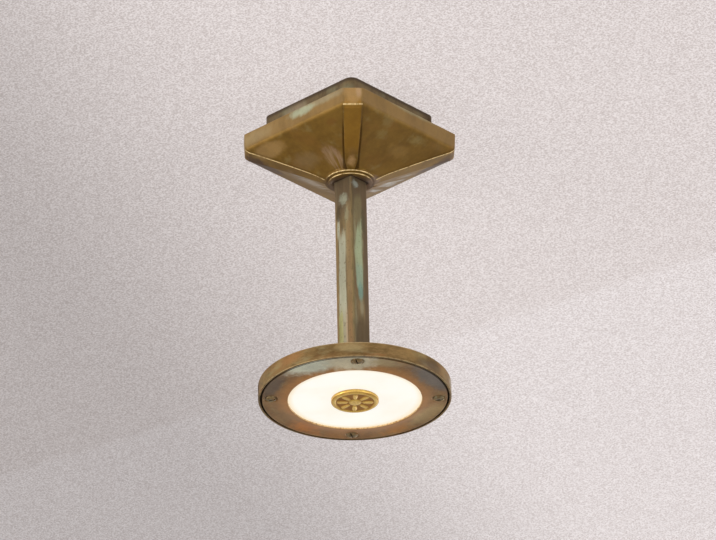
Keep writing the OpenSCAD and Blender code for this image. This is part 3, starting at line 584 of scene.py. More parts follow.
canopyLook = {
    "dark": tone(116, 85, 27), "light": tone(138, 105, 40), "rust": tone(142, 98, 42), "rustShare": 0.3,
    "patina": tone(158, 142, 92), "patinaShare": 0.36, "patinaDepth": 0.35, "streakSize": 12,
    "streakStretch": (1, 1, 0.4), "stretch": (1, 1, 0.6), "blotch": 20, "dirtAndShade": tone(66, 46, 18),
    "dirtAndShadeReach": 3, "dirtAndShadeDepth": 0.6, "grooveShadeDepth": 0.85, "gold": tone(255, 228, 168), "wearAndHighlightShare": 1.0,
    "edgeWidth": 0.6, "rough": 0.56, "metal": 0.5, "relief": 0.12, "speckShare": 0.25,
    "bands": ((tone(148, 120, 74), -29.2, -26.0, 0.8),),
    "patches": (
        patch((164, 122, 44), (41, -41, -38), (30, 6.4, 16), 0.85,
              soft=0.25, ragged=0.08, square=2, turn=-45),
        patch((172, 138, 84), (-30, -49, -33), (17, 9, 6), 0.8, soft=0.5, ragged=0.25),
        patch((148, 120, 76), (-12, -31, -41), (15, 13, 6), 0.7, soft=0.7),
        patch((168, 138, 106), (8, -24, -44), (10, 19, 10), 0.85, soft=0.6, rays=6.0),
        patch((196, 158, 106), (19, -19, -48), (9, 4, 4), 0.9, soft=0.6, turn=-45),
        patch((128, 86, 36), (28, -48, -33), (6, 5, 3), 0.5, soft=0.7),
        patch((160, 140, 84), (50, 14, -32), (6, 10, 4), 0.7, soft=0.9, ragged=0.9),
        patch((148, 112, 54), (53, 32, -31), (6, 11, 4), 0.5, soft=0.7),
        patch((156, 122, 60), (38, 8, -38), (9, 12, 6), 0.8, soft=0.8),
        patch((152, 120, 74), (24, -24, -46), (7, 7, 5), 0.5, soft=0.8),
        # painted shade on the far face beside the left corner
        patch((82, 58, 36), (-50, -34, -34), (11, 24, 10), 0.9, soft=0.5),
        patch((158, 142, 122), (-36, -8, -40), (14, 28, 9), 0.5, soft=0.7),
        patch((180, 168, 152), (-32, -4, -42), (12, 26, 7), 0.85, soft=0.6, rays=7.0),
        # painted shade on the far face beside the right corner
        patch((80, 56, 38), (34, 50, -34), (24, 8, 9), 0.92, soft=0.5),
        patch((226, 222, 214), (-2, 42, -38), (28, 15, 9), 0.95, soft=0.6, rays=7.0),
        # painted shade: the far half of the boss darkened to dull its edge highlights
        patch((118, 96, 78), (-5, 5, -51), (21, 21, 4.5), 0.75, soft=0.3, ragged=0.2),
        patch((148, 124, 106), (12, 10, -50), (8, 8, 4), 0.7, soft=0.5),
        patch((168, 150, 112), (-36, -56.2, -22), (26, 4, 7), 0.5, soft=0.8),
        patch((162, 150, 118), (28, -56.2, -19), (28, 4, 4), 0.75, soft=0.8),
        patch((174, 178, 148), (8, -56.2, -20), (16, 4, 4.6), 0.95, soft=0.7, ragged=0.5),
        patch((160, 152, 116), (56.2, 4, -17.4), (4, 30, 2.4), 0.7, soft=0.8),
        # painted highlight: the near corner's facet lighter, where it faces the light
        patch((182, 146, 90), (51.3, -51.3, -22), (6, 6, 8), 0.8, soft=0.5, square=1),
        patch((196, 166, 130), (54.5, -48.5, -20), (3, 2.6, 6), 0.6, soft=0.7),
    ),
}


def canopyRing(face, corner, rib, z, form=canopyForm):
    # one level of the canopy: half width of a face, distance of the corner flat, reach of the rib
    root = math.sqrt(0.5)
    rib = max(rib, corner + 0.02)
    taper = max(0.0, (form["taperAt"] - rib) / (form["taperAt"] - form["tipAt"]))
    half = form["ribWidth"] / 2 - (form["ribWidth"] - form["tipWidth"]) / 2 * taper ** 2
    crease = Vector((face, corner / root - face))
    offset = (crease.x - crease.y) * root
    half = min(half, offset - 0.15)

    def diagonal(reach, side):
        return Vector(((reach + side) * root, (reach - side) * root))

    ends = [Vector((face, 0)), crease, diagonal(corner, half), diagonal(rib, half), diagonal(rib, 0)]
    proud = min(1.0, (rib - corner) / 0.5)
    radii = (0, form["creaseRound"], form["ribFootRound"], form["ribEdgeRound"])
    path = []         # points with their share of: crease, groove, edge of the rib, corner flat
    for i in (1, 2, 3):
        before, after = ends[i - 1] - ends[i], ends[i + 1] - ends[i]
        a = ends[i] + before.normalized() * min(radii[i], 0.45 * before.length)
        b = ends[i] + after.normalized() * min(radii[i], 0.45 * after.length)
        if i == 1:
            reach = min(form["groove"], 0.3 * (a - ends[0]).length)
            shade = a + (ends[0] - a).normalized() * reach
            for k in range(form["facePoints"] + 1):
                path.append((ends[0].lerp(shade, k / form["facePoints"]), (0, 0, 0, 0)))
            path.append((shade.lerp(a, 0.5), (0, proud * 0.55, 0, 0)))
        for k in range(5):
            t = k / 4
            peak = math.sin(math.pi * t)
            kinds = (0, (peak * (1 - proud), proud, 0, t), (0, proud * (1 - 0.6 * t), 0, 1),
                     (0, 0.4 * proud * (1 - t) ** 2, proud * peak ** 0.5, 1))[i]
            path.append((a * (1 - t) ** 2 + ends[i] * 2 * t * (1 - t) + b * t ** 2, kinds))
    last = path[-1][0]
    path += [(last.lerp(ends[4], k / 3), (0, 0, 0, 1)) for k in (1, 2, 3)]
    eighth = path + [(Vector((p.y, p.x)), kinds) for p, kinds in path[-2:0:-1]]
    ring, wearHighlightShade, flats = [], [], []
    depth = min(1.0, max(0.3, (form["rimFoot"] - z) / 9))
    for quarter in range(4):
        c, s = ((1, 0), (0, 1), (-1, 0), (0, -1))[quarter]
        near = quarter == form["nearCorner"]
        for i, (p, (creaseShare, grooveShare, edgeShare, flat)) in enumerate(eighth):
            ring.append((c * p.x - s * p.y, s * p.x + c * p.y, z))
            # painted highlight: full gold on the rib edges of the chosen sides; painted shadow in the
            # grooves beside the ribs, deepest low down on the near corner
            highlighted = (quarter, i < len(path)) in form["highlightSides"]
            rubbedAndHighlit = 0.15 * creaseShare + (1.0 if highlighted else 0.1) * edgeShare
            paintedShade = (depth if near else 0.45) * grooveShare
            wearHighlightShade.append(rubbedAndHighlit if rubbedAndHighlit > paintedShade else -paintedShade)
            flats.append(flat if near else 0)
    return ring, wearHighlightShade, flats


def bentRings(a, middle, b, steps, wearHighlightShade, flatHighlight):
    # rounds the edge between two levels; the near corner's flat gets a painted highlight as well
    rings = []
    for k in range(steps + 1):
        t = k / steps
        ring = [tuple((1 - t) ** 2 * p[i] + 2 * t * (1 - t) * q[i] + t * t * r[i] for i in range(3))
                for p, q, r in zip(a[0], middle[0], b[0])]
        peak = math.sin(math.pi * t)
        rubbedAndHighlit = [peak ** 2 * wearHighlightShade * (1 - flat) + peak ** 8 * flatHighlight * flat for flat in b[2]]
        rings.append((ring, [max(w, r) if w > -0.2 or r > 0.5 else w for w, r in zip(b[1], rubbedAndHighlit)]))
    return rings


def makeCanopy(form=canopyForm):
    root2 = math.sqrt(2)
    flat = form["rimHalf"] * root2 - form["cornerFlat"] / 2
    drop = form["rimFoot"] - form["flareFoot"]

    def along(start, end, top, foot, bow, z):
        s = (top - z) / (top - foot)
        return start + (end - start) * s - bow * 4 * s * (1 - s)

    def level(z, grow=0.0, limit=None, ribs=True):
        # the flare's outline at height z; grow makes it the inside, which sits higher
        face = along(form["rimHalf"] - form["draft"], form["faceEnd"], form["rimFoot"] + grow,
                     form["flareFoot"] + grow, form["bow"], z)
        corner = along(flat - form["draft"], form["chamferEnd"], form["rimFoot"] + grow,
                       form["flareFoot"] + grow, form["bow"] * 1.3, z)
        rib = 0
        if ribs:
            rib, high = form["ribStart"], form["ribTop"]
            if z < high + 0.4:
                rib = min(rib, along(rib, form["ribEnd"], high, form["ribFoot"], form["ribBow"], z))
        if limit:
            face = min(face, limit)
            corner = min(corner, limit * root2 - form["cornerFlat"] / 2 + 1)
        return canopyRing(face, corner, rib, z)

    def rim(inset, z):
        return canopyRing(form["rimHalf"] - inset, flat - inset, 0, z)

    def side(z):
        share = (form["rimTop"] - z) / (form["rimTop"] - form["rimFoot"]) * form["draft"]
        return canopyRing(form["rimHalf"] - share, flat - share, 0, z)

    top, foot, tip = form["rimTop"], form["rimFoot"], form["flareFoot"]
    above, below = form["footRound"]
    edge = form["rimRound"]
    # the rounded edges get some gold wear, and the near corner's flat a painted highlight, strongest along
    # the foot
    levels = bentRings(rim(edge, top), rim(0, top), side(top - edge), 4, 0.2, 0.2)
    levels += [side(top - down) for down in form["rimLevels"]]
    levels += bentRings(side(foot + above), side(foot), level(foot - below), 8, 0.1, 0.8)
    z = foot - below - 0.25
    while z > tip + 0.3:
        levels.append(level(z))
        z -= form["bendStep"] if z > form["ribTop"] - 0.5 else form["flareStep"]
    levels.append(level(tip))
    inside = tip + form["lift"]
    levels += [canopyRing(*form["footHole"], 0, height) for height in (tip, inside)]
    z = inside
    while z < foot + form["lift"] - 0.1:
        levels.append(level(z, form["lift"], form["innerHalf"], ribs=False))
        z += form["innerStep"]
    inner, seat = form["innerHalf"], form["seatHalf"]
    innerFlat = inner * root2 - form["cornerFlat"] / 2 + 1
    seatFlat = seat * root2 - form["cornerFlat"] / 2 + 0.7
    levels += [canopyRing(inner, innerFlat, 0, height) for height in (foot + form["lift"], form["seatZ"])]
    levels += [canopyRing(seat, seatFlat, 0, height) for height in (form["seatZ"], top - 0.3)]
    levels.append(canopyRing(seat + 0.3, seatFlat + 0.3, 0, top))
    skin = loft([points for points, *_ in levels], [wearHighlightShade for _, wearHighlightShade, *_ in levels])
    return uneven(skin, form["waves"], 13)


bossForm = {"radius": 15.4, "low": -51.8, "step": 17.5, "stepLow": -50.5, "stepHigh": -47.6, "collar": 14.2,
            "collarTop": -35.6, "bore": 8.2, "boreCorner": 1.1, "mouth": 9.1, "mouthCorner": 1.5,
            "mouthTop": -49.4, "round": 0.7, "dish": 0.6, "grubZ": -45.1, "grubHole": 2.1, "grubReach": 80,
            "turns": 176}


def makeBoss(form=bossForm):
    low, inside = form["low"], form["low"] + form["dish"]
    outline = soften([
        (form["collar"], form["collarTop"], 0.6, 0.4), (form["collar"], form["stepHigh"] + 1.2, 0, 0),
        (form["step"], form["stepHigh"], 0.3, 0), (form["step"], form["stepLow"], form["round"], 1.0),
        (form["radius"], form["stepLow"], 0.35, -0.5), (form["radius"], low, form["round"], 1.0),
        (form["radius"] - 1.6, low + 0.15, 0.4, 0), (form["mouth"] + 1.6, inside, 0, 0)])
    outline.pop()       # it only led the corner before it
    square = [(form["mouth"], inside, -0.4, form["mouthCorner"]),
              (form["mouth"], form["mouthTop"], -0.5, form["mouthCorner"]),
              (form["bore"], form["mouthTop"], 0, form["boreCorner"]),
              (form["bore"], form["collarTop"], 0, form["boreCorner"])]
    # painted highlight on the boss's rounded edges at the front and painted shade on them behind; the mouth
    # round the stem is marked for painted shadow
    return highlightFrontShadeBehind(spin(outline + square, form["turns"]), 0.0, 0.7)


def grubTool(form=bossForm):
    # a rod along y, from inside the bore to past the canopy's side
    near, far, radius = 5, form["grubReach"], form["grubHole"]
    verts, faces, wearHighlightShade = dome([(0, near, 0), (radius, near, 0), (radius, far, 0), (0, far, 0)], 32)
    return [(x, z, y + form["grubZ"]) for x, y, z in verts], faces, wearHighlightShade


canopyShell = addPiece("canopyShell", joined(makeCanopy(), makeBoss()), agedBrass("canopyBrass", canopyLook),
                       stands="canopy", body="sliding_canopy")
carve(canopyShell, grubTool(), "grubTool")
print("canopy ready")

# ceiling base and the ring that closes the canopy round it

# the dark band along the base's top edge, against the ceiling, is a painted contact shadow
baseLook = dict(canopyLook, dark=tone(92, 76, 52), light=tone(122, 104, 72), rust=tone(106, 82, 54),
                patina=tone(136, 134, 104), patinaShare=0.42, patinaDepth=0.5, gold=tone(150, 120, 66),
                wearAndHighlightShare=0.4, blotch=12, bands=((tone(70, 56, 42), -3.5, -1.0, 0.85),), patches=(
                    patch((134, 134, 102), (38, -42, -10), (12, 5, 8), 0.6, soft=0.8),
                    patch((146, 146, 118), (42, -8, -13), (4, 30, 4), 0.6, soft=0.8),
                    patch((82, 66, 52), (42, 40, -10), (7, 15, 12), 0.9, soft=0.6, matt=True),
                    patch((158, 140, 120), (-10, -42, -8), (15, 5, 9), 0.55, soft=0.8),
                ))
topRingLook = dict(canopyLook, patches=(), bands=())

# stem: a square tube, a little uneven, with long streaks of verdigris

stemForm = {"half": 8.0, "corner": 1.1, "innerHalf": 6.5, "innerCorner": 0.5, "low": -197.0,
            "high": -25.0, "endRound": 0.3, "step": 4.0, "waves": 0.06, "turns": 128}
stemLook = {
    "dark": tone(104, 88, 60), "light": tone(140, 120, 82), "rust": tone(150, 114, 70), "rustShare": 0.35,
    "patina": tone(160, 156, 122), "patinaShare": 0.4, "patinaDepth": 0.5, "streakSize": 4.0,
    "streakStretch": (1, 1, 0.08), "stretch": (1, 1, 0.16), "blotch": 7, "dirtAndShade": tone(60, 48, 32),
    "dirtAndShadeReach": 2, "dirtAndShadeDepth": 0.5, "grooveShadeDepth": 0.8, "gold": tone(180, 150, 98), "wearAndHighlightShare": 0.22,
    "rough": 0.5, "metal": 0.5, "relief": 0.16, "speckShare": 0.5, "speckSize": 1.7,
    "bands": ((tone(100, 84, 64), -88, -70, 0.8),),
    "patches": (
        patch((150, 126, 86), (-7, -8, -130), (2.0, 1.6, 76), 0.85, soft=0.4, ragged=0.3, square=2),
        patch((156, 132, 92), (5.2, -8, -105), (3.0, 1.6, 40), 0.7, soft=0.3, ragged=0.3, square=2),
        patch((148, 116, 77), (5.2, -8, -172), (3.0, 1.6, 40), 0.8, soft=0.7, ragged=0.4, square=1),
        patch((178, 178, 154), (-1.6, -8, -127), (3.7, 1.6, 38), 0.92, soft=0.3, ragged=0.35, square=2),
        patch((168, 162, 136), (-1.0, -8, -180), (3.2, 1.6, 34), 0.8, soft=0.3, ragged=0.4, square=2),
        patch((168, 164, 108), (-3.6, -8, -176), (2.2, 1.6, 30), 0.85, soft=0.4, ragged=0.4, square=2),
        patch((176, 150, 120), (1.6, -8, -176), (1.0, 1.6, 30), 0.6, soft=0.5, ragged=0.4, square=2),
        patch((184, 184, 160), (-4.4, -8, -88), (1.8, 1.6, 10), 0.8, soft=0.6, ragged=0.6, grain=3.0),
        patch((106, 88, 66), (8, 5.8, -122), (1.6, 2.8, 76), 0.85, soft=0.3, ragged=0.25, square=2),
        patch((136, 126, 90), (8, -1.8, -76), (1.6, 4.8, 14), 0.8, soft=0.4, ragged=0.4, square=1),
        patch((178, 190, 152), (8, -1.4, -106), (1.6, 4.8, 25), 0.95,
              soft=0.6, ragged=0.7, grain=4.0, square=1),
        patch((164, 184, 156), (8, -1.2, -127), (1.6, 4.0, 12), 0.9, soft=0.4, ragged=0.4, square=1),
        patch((128, 162, 146), (8, -0.6, -138), (1.6, 3.4, 10), 0.85, soft=0.6, ragged=0.5),
        patch((160, 154, 126), (8, 0.4, -150), (1.6, 2.4, 9), 0.6, soft=0.8, ragged=0.4),
        patch((94, 78, 52), (8, 0, -180), (1.6, 9, 28), 0.9, soft=0.4, square=1),
        patch((84, 72, 50), (-4.5, -8, -77), (3.0, 1.6, 8), 0.75,
              soft=0.6, ragged=0.8, grain=2.6, stretch=(1, 1, 0.6)),
        patch((150, 148, 118), (3.5, -8, -79), (2.6, 1.6, 9), 0.6,
              soft=0.6, ragged=0.9, grain=2.4, stretch=(1, 1, 0.7)),
        patch((86, 82, 58), (8, 3.2, -84), (1.6, 2.4, 16), 0.7,
              soft=0.6, ragged=0.9, grain=2.8, stretch=(1, 1, 0.6)),
        patch((160, 164, 142), (0.6, -8, -67), (5.6, 1.6, 6), 0.75,
              soft=0.7, ragged=0.7, grain=2.4, stretch=(1, 1, 1)),
        patch((158, 164, 152), (8, -4.0, -56), (1.6, 4, 3.6), 0.85,
              soft=0.7, ragged=0.7, grain=2.0, stretch=(1, 1, 1)),
        patch((118, 110, 76), (8, -7.2, -120), (1.4, 1.6, 70), 0.6, soft=0.5, ragged=0.3, square=2),
    ),
}


def makeStem(form=stemForm):
    end = form["endRound"]
    levels = [form["low"], form["low"] + end]
    z = form["low"] + form["step"]
    while z < form["high"] - 1:
        levels.append(z)
        z += form["step"]
    levels += [form["high"] - end, form["high"]]
    rings, wears = [], []
    for i, z in enumerate(levels):
        half = form["half"] - (end if i in (0, len(levels) - 1) else 0)
        ring = circleOrSquare(half, z, form["corner"], form["turns"])
        rings.append(ring)
        fromCorner = [abs(abs(x) - abs(y)) for x, y, _ in ring]
        wears.append([1.0 if t < 0.9 else 0.5 if t < 1.4 else 0.0 for t in fromCorner])
    for z in levels[::-1]:
        rings.append(circleOrSquare(form["innerHalf"], z, form["innerCorner"], form["turns"]))
        wears.append([0.0] * form["turns"])
    return uneven(loft(rings, wears), form["waves"], 22, 4.0)


addPiece("squareStem", makeStem(), agedBrass("stemBrass", stemLook), stands="stem")
print("stem ready")

# head: a turned casting with a raised middle, a hub for the stem and posts for the screws

headForm = {"radius": 64.94, "height": 10.5, "wallIn": 63.4, "roof": 8.3, "riseR": 48.5, "riseHigh": 18.5,
            "under": 16.3, "hubR": 17, "hubHigh": 28.5, "socket": 8.1, "tubeHole": 5.1, "ribIn": 46.3,
            "ribOut": 50.6, "ribLow": 5.2, "postR": 4.2, "postHole": 2.1, "postLow": 3.3,
            "screwCircle": 56.35, "waves": 0.05, "turns": 288}
headLook = {
    "dark": tone(104, 80, 42), "light": tone(152, 123, 75), "rust": tone(156, 108, 62), "rustShare": 0.55,
    "patina": tone(158, 146, 102), "patinaShare": 0.42, "patinaDepth": 0.5, "streakSize": 8,
    "streakStretch": (0.5, 0.5, 1.3), "stretch": (0.5, 0.5, 1.4), "blotch": 12, "dirtAndShade": tone(46, 34, 20),
    "dirtAndShadeReach": 2.5, "dirtAndShadeDepth": 0.8, "grooveShadeDepth": 0.95, "gold": tone(206, 184, 138), "wearAndHighlightShare": 0.6,
    "rough": 0.5, "metal": 0.5, "relief": 0.12, "speckShare": 0.35, "patches": (
        patch((160, 112, 66), (2, -65, -209), (16, 5, 5), 0.6, soft=0.8),
        patch((176, 156, 108), (42, -49, -209), (14, 14, 5), 0.75, soft=0.8),
        patch((150, 122, 72), (64, -12, -210), (6, 16, 5), 0.5, soft=0.8),
        patch((186, 176, 162), (50, 42, -210), (15, 15, 8), 0.9, soft=0.7),
        patch((104, 92, 78), (64, 4, -212), (8, 16, 6), 0.5, soft=0.8),
        patch((70, 56, 42), (-48, -44, -210), (18, 18, 9), 0.9, soft=0.7, matt=True),
    ),
}


def atScrews(part, circle=headForm["screwCircle"]):
    # one part at each of the cover's four screws, turned with its place
    copies = []
    for i in range(4):
        angle = math.radians(45 + 90 * i)
        copies.append(moved(part, (circle * math.cos(angle), circle * math.sin(angle), 0), angle))
    return joined(*copies)


def makeHead(form=headForm):
    outline = soften([
        (form["tubeHole"], form["riseHigh"], 0, 0, 0), (form["socket"], form["riseHigh"], 0, 0, 1.2),
        (form["socket"], form["hubHigh"], 0, 0.4, 1.2), (form["hubR"], form["hubHigh"], 1.0, 0.8, 0),
        (form["hubR"], form["riseHigh"], 1.5, -0.6, 0), (form["riseR"], form["riseHigh"], 1.2, 0.8, 0),
        (form["riseR"], form["height"], 1.5, -0.6, 0), (form["radius"], form["height"], 1.3, 0.7, 0),
        (form["radius"], 0, 0.45, 0.9, 0), (form["wallIn"], 0, 0.45, -0.9, 0),
        (form["wallIn"], 0.7, 0, -1.0, 0), (form["wallIn"], 5, 0, -1.0, 0),
        (form["wallIn"], form["roof"], 0, 0, 0), (form["ribOut"], form["roof"], 0, 0, 0),
        (form["ribOut"], form["ribLow"], 0, 0, 0), (form["ribIn"], form["ribLow"], 0, 0, 0),
        (form["ribIn"], form["under"], 0, 0, 0), (form["tubeHole"], form["under"], 0, 0, 0)], 5)
    # painted highlight on the head's edges at the front; the inner wall in the gap round the cover is marked
    # for painted shade
    body = highlightFrontShadeBehind(spin(outline, form["turns"], headLow), 0.3)
    inRoof = form["roof"] + 0.3
    post = spin([(form["postHole"], form["postLow"], 0), (form["postR"], form["postLow"], 0),
                 (form["postR"], inRoof, 0), (form["postHole"], inRoof, 0)], 40, headLow)
    return joined(uneven(body, form["waves"], 18, 9.0), atScrews(post))


addPiece("headCasting", makeHead(), agedBrass("headBrass", headLook), stands="head_pan")
print("head ready")

# cover ring: dished, with a seat for each of its four screws

coverForm = {"radius": 62.5, "window": 45.0, "thick": 3.2, "seat": 0.0, "seatR": 50.6, "dish": 0.5,
             "dropIn": 1.0, "dishOut": 61.3, "dishIn": 46.4, "dishPoints": 16, "waves": 0.03, "turns": 320,
             "sinkR": 4.35, "sinkTop": 1.3, "mouth": 0.35, "holeR": 2.1}
coverLook = {
    "dark": tone(126, 94, 56), "light": tone(158, 122, 76), "rust": tone(166, 116, 64), "rustShare": 0.5,
    "patina": tone(164, 150, 108), "patinaShare": 0.4, "patinaDepth": 0.45, "turned": (7.0, 330.0),
    "stretch": (1, 1, 1), "blotch": 14, "dirtAndShade": tone(48, 36, 24),
    "dirtAndShadeReach": 2.0, "dirtAndShadeDepth": 0.7, "grooveShadeDepth": 0.95, "gold": tone(250, 222, 170), "wearAndHighlightShare": 0.85,
    "edgeWidth": 0.5, "rough": 0.46, "metal": 0.5, "relief": 0.08, "speckShare": 0.3,
    # painted glow of the opal glass on the inner part of the ring
    "paintedGlows": ((tone(196, 140, 80), 56, 46, 0.75),),
    "patches": (
        patch((114, 98, 82), (-26, -53, -215), (26, 8, 8), 0.9, soft=0.6, turn=-26),
        patch((128, 122, 114), (58, 14, -215), (12, 30, 8), 0.9, soft=0.6, turn=12),
        patch((222, 226, 204), (14, -57, -215), (26, 13, 8), 0.95, soft=0.55, ragged=0.4, turn=14),
        patch((216, 208, 178), (37, -42, -215), (24, 14, 8), 0.95, soft=0.55, ragged=0.4, turn=42),
        patch((174, 156, 114), (52, -24, -215), (8, 14, 8), 0.75, soft=0.7, turn=-24),
        patch((194, 166, 112), (18, 52, -215), (28, 10, 8), 0.75, soft=0.7, turn=-15),
        patch((186, 130, 66), (-42, 36, -215), (26, 24, 8), 0.6, soft=0.7),
        patch((150, 118, 76), (-54, -12, -215), (12, 18, 8), 0.5, soft=0.7),
        patch((210, 132, 52), (-54, 8, -215), (12, 18, 8), 0.75, soft=0.9, ragged=0.6),
        patch((208, 142, 62), (-12, 54, -215), (18, 11, 8), 0.75, soft=0.9, ragged=0.6),
        patch((104, 84, 62), (-42, 42, -215), (9, 9, 8), 0.5, soft=0.9, ragged=0.6),
    ),
}


def coverFace(r, form=coverForm):
    # height of the ring's dished face at radius r, from the head's rim
    u = (r - form["dishIn"]) / (form["dishOut"] - form["dishIn"])
    slope = form["dropIn"] * (r - form["window"]) / (form["radius"] - form["window"]) - form["dropIn"]
    return slope + form["dish"] * 4 * u * (1 - u)


def makeCover(form=coverForm):
    window, drop = form["window"], form["dropIn"]
    corners = [(window, form["seat"], 0, 1.0), (window, -0.5 * drop, 0, 1.0),
               (window, -0.96 * drop, 0.35, 0.9)]
    for k in range(form["dishPoints"] + 1):
        r = form["dishIn"] + (form["dishOut"] - form["dishIn"]) * k / form["dishPoints"]
        corners.append((r, coverFace(r), 0, 0))
    # the outer wall of the ring, in the gap to the head's lip, is marked for painted shade
    corners += [(form["radius"], 0, 0.5, -1.0), (form["radius"], 0.8, 0, -1.0),
                (form["radius"], form["thick"], 0.3, 0), (form["seatR"], form["thick"], 0, 0),
                (form["seatR"], form["seat"], 0, 0)]
    return uneven(spin(soften(corners), form["turns"], headLow), form["waves"], 16, 2.0)


def sinkTool(form=coverForm):
    # a screw's hole and the wider seat for its head, open at the face
    face = coverFace(headForm["screwCircle"]) - 0.05
    below, above, radius = -2, 6, form["sinkR"]
    return dome([(0, below, 0), (radius + 0.9, below, 0), (radius + form["mouth"] + 0.3, face - 0.3, 0),
                 (radius + 0.05, face + form["mouth"], 0), (radius, form["sinkTop"], 0),
                 (form["holeR"], form["sinkTop"], 0), (form["holeR"], above, 0), (0, above, 0)], 64, headLow)


coverRing = addPiece("coverRing", makeCover(), agedBrass("coverBrass", coverLook), stands="cover_ring")
carve(coverRing, atScrews(sinkTool()), "sinkTool")

# pan head screws of the cover

screwForm = {"headR": 4.0, "headH": 2.4, "slot": 1.0, "slotDepth": 1.15, "turn": -20, "threadR": 2.0,
             "threadTop": 7.0, "threadDepth": 0.25, "pitch": 0.7}
screwLook = dict(coverLook, dark=tone(96, 80, 52), light=tone(140, 118, 80), patina=tone(150, 148, 118),
                 patinaShare=0.45, blotch=3, gold=tone(196, 164, 108), paintedGlows=(), patches=())


def makeScrew(form=screwForm):
    r, h = form["headR"], form["headH"]
    thread, top, pitch = form["threadR"], form["threadTop"], form["pitch"]
    outline = soften([(0, -h, 0, 0.0), (r * 0.55, -h + 0.02, 0, 0), (r * 0.9, -h * 0.62, 1.2, 0.8),
                      (r, -h * 0.2, 0.5, 0.4), (r, 0, 0, 0), (thread - 0.2, 0, 0, 0)], 5)
    z = 0.3
    while z < top - 0.6:
        outline += [(thread - form["threadDepth"], z, 0.0), (thread, z + pitch / 2, 0.0)]
        z += pitch
    outline += [(thread - 0.5, top, 0.0), (0, top, 0.0)]
    return dome(outline, 48)


def boxPart(low, high):
    verts = [(x, y, z) for z in (low[2], high[2]) for y in (low[1], high[1]) for x in (low[0], high[0])]
    faces = [(0, 1, 3, 2), (4, 6, 7, 5), (0, 4, 5, 1), (2, 3, 7, 6), (0, 2, 6, 4), (1, 5, 7, 3)]
    return verts, faces, [0.0] * 8


def onCover(part):
    # four copies, seated in the cover's holes and turned like the slots
    return atScrews(moved(part, (0, 0, headLow + coverForm["sinkTop"]), math.radians(screwForm["turn"])))


def slotTool(form=screwForm):
    reach, half = 6, form["slot"] / 2
    return boxPart((-reach, -half, -4), (reach, half, -form["headH"] + form["slotDepth"]))


screwPaint = agedBrass("screwBrass", screwLook, cadEdges=True)
coverScrews = addPiece("panHeadScrews", onCover(makeScrew()), screwPaint, stands="cover_screws")
carve(coverScrews, onCover(slotTool()), "slotTool")
print("cover ready")

# opal glass, lit from behind

glassForm = {"radius": 50.2, "hole": 2.4, "low": 0.0, "high": 4.0, "turns": 200}
glassLook = {"glow": tone(255, 253, 244), "edgeGlow": tone(252, 236, 204), "body": tone(138, 134, 126),
             "strength": 0.86, "edgeAt": 41.0, "edgeFull": 46.2, "cloudWave": 0.002}


def glassPaint(look=glassLook):
    paint = Paint("opalGlass")
    _, away = paint.fromAxis()
    cloud = paint.grain(26, 3, 0.5, shift=6)
    rim = paint.fit(paint.plus(away, cloud, look["cloudWave"]), look["edgeAt"] * mm, look["edgeFull"] * mm)
    colour = paint.mix(rim, look["glow"], look["edgeGlow"])
    colour = paint.mix(paint.fit(cloud, 0.35, 0.75, 0.0, 0.25), colour, look["edgeGlow"])
    body = paint.mix(paint.fit(cloud, 0.3, 0.7), look["body"], shaded(look["body"], 0.85))
    paint.set(Base_Color=body, Roughness=0.22, Emission_Color=colour, Emission_Strength=look["strength"],
              Coat_Weight=0.25, Coat_Roughness=0.08)
    paint.bump(paint.grain(9, 2, 0.4, shift=1), 0.05, 0.3)
    return paint.material


def makeGlass(form=glassForm):
    outline = [(form["hole"], form["low"], 0.2, 0), (form["radius"], form["low"], 0.5, 0),
               (form["radius"], form["high"], 0.5, 0), (form["hole"], form["high"], 0.2, 0)]
    return spin(soften(outline), form["turns"], headLow)


addPiece("opalDisc", makeGlass(), glassPaint(), stands="cover_glass")

# medallion: cast disc with a plain rosette

medalForm = {"radius": 16.0, "back": -0.5, "face": -2.5, "rimR": 14.1, "rimW": 1.3, "rimH": 0.75,
             "petals": 8, "petalIn": 4.6, "petalOut": 12.6, "petalW": 2.15, "relief": 1.0, "domeR": 4.3,
             "domeH": 1.1, "stud": 2.0, "studTop": 7.9, "studBevel": 0.4, "turns": 288, "rows": 64}
medalLook = {
    "dark": tone(196, 150, 66), "light": tone(230, 194, 98), "rust": tone(204, 152, 76), "rustShare": 0.3,
    "patina": tone(186, 168, 112), "patinaShare": 0.36, "patinaDepth": 0.2, "streakSize": 4,
    "streakStretch": (1, 1, 1), "stretch": (1, 1, 1), "blotch": 4, "dirtAndShade": tone(168, 116, 72),
    "dirtAndShadeReach": 1.2, "dirtAndShadeDepth": 0.6, "grooveShadeDepth": 0.9, "gold": tone(246, 214, 128), "wearAndHighlightShare": 0.9,
    "rough": 0.4, "metal": 0.6, "relief": 0.08, "speckShare": 0.2, "patches": (),
}


def medalHeight(r, angle, form=medalForm):
    # how far the face stands proud at a radius and angle
    rim = max(0.0, 1 - ((r - form["rimR"]) / form["rimW"]) ** 2) ** 0.5 * form["rimH"]
    sector = 2 * math.pi / form["petals"]
    off = (angle + sector / 2) % sector - sector / 2
    along = (r * math.cos(off) - form["petalIn"]) / (form["petalOut"] - form["petalIn"])
    petal = 0.0
    if 0 < along < 1:
        leaf = math.sin(math.pi * min(1, 0.18 + along * 0.72)) ** 0.6 * (0.55 + 0.5 * along)
        across = abs(r * math.sin(off)) / (form["petalW"] * leaf)
        if across < 1:
            petal = form["relief"] * (1 - across ** 2) ** 0.7 * min(1, along * 6, (1 - along) * 6)
            petal -= 0.22 * max(0.0, 1 - across * 4) * min(1, along * 4, (1 - along) * 4)
    middle = max(0.0, 1 - (r / form["domeR"]) ** 2) ** 0.5 * form["domeH"]
    return max(rim, petal, middle)


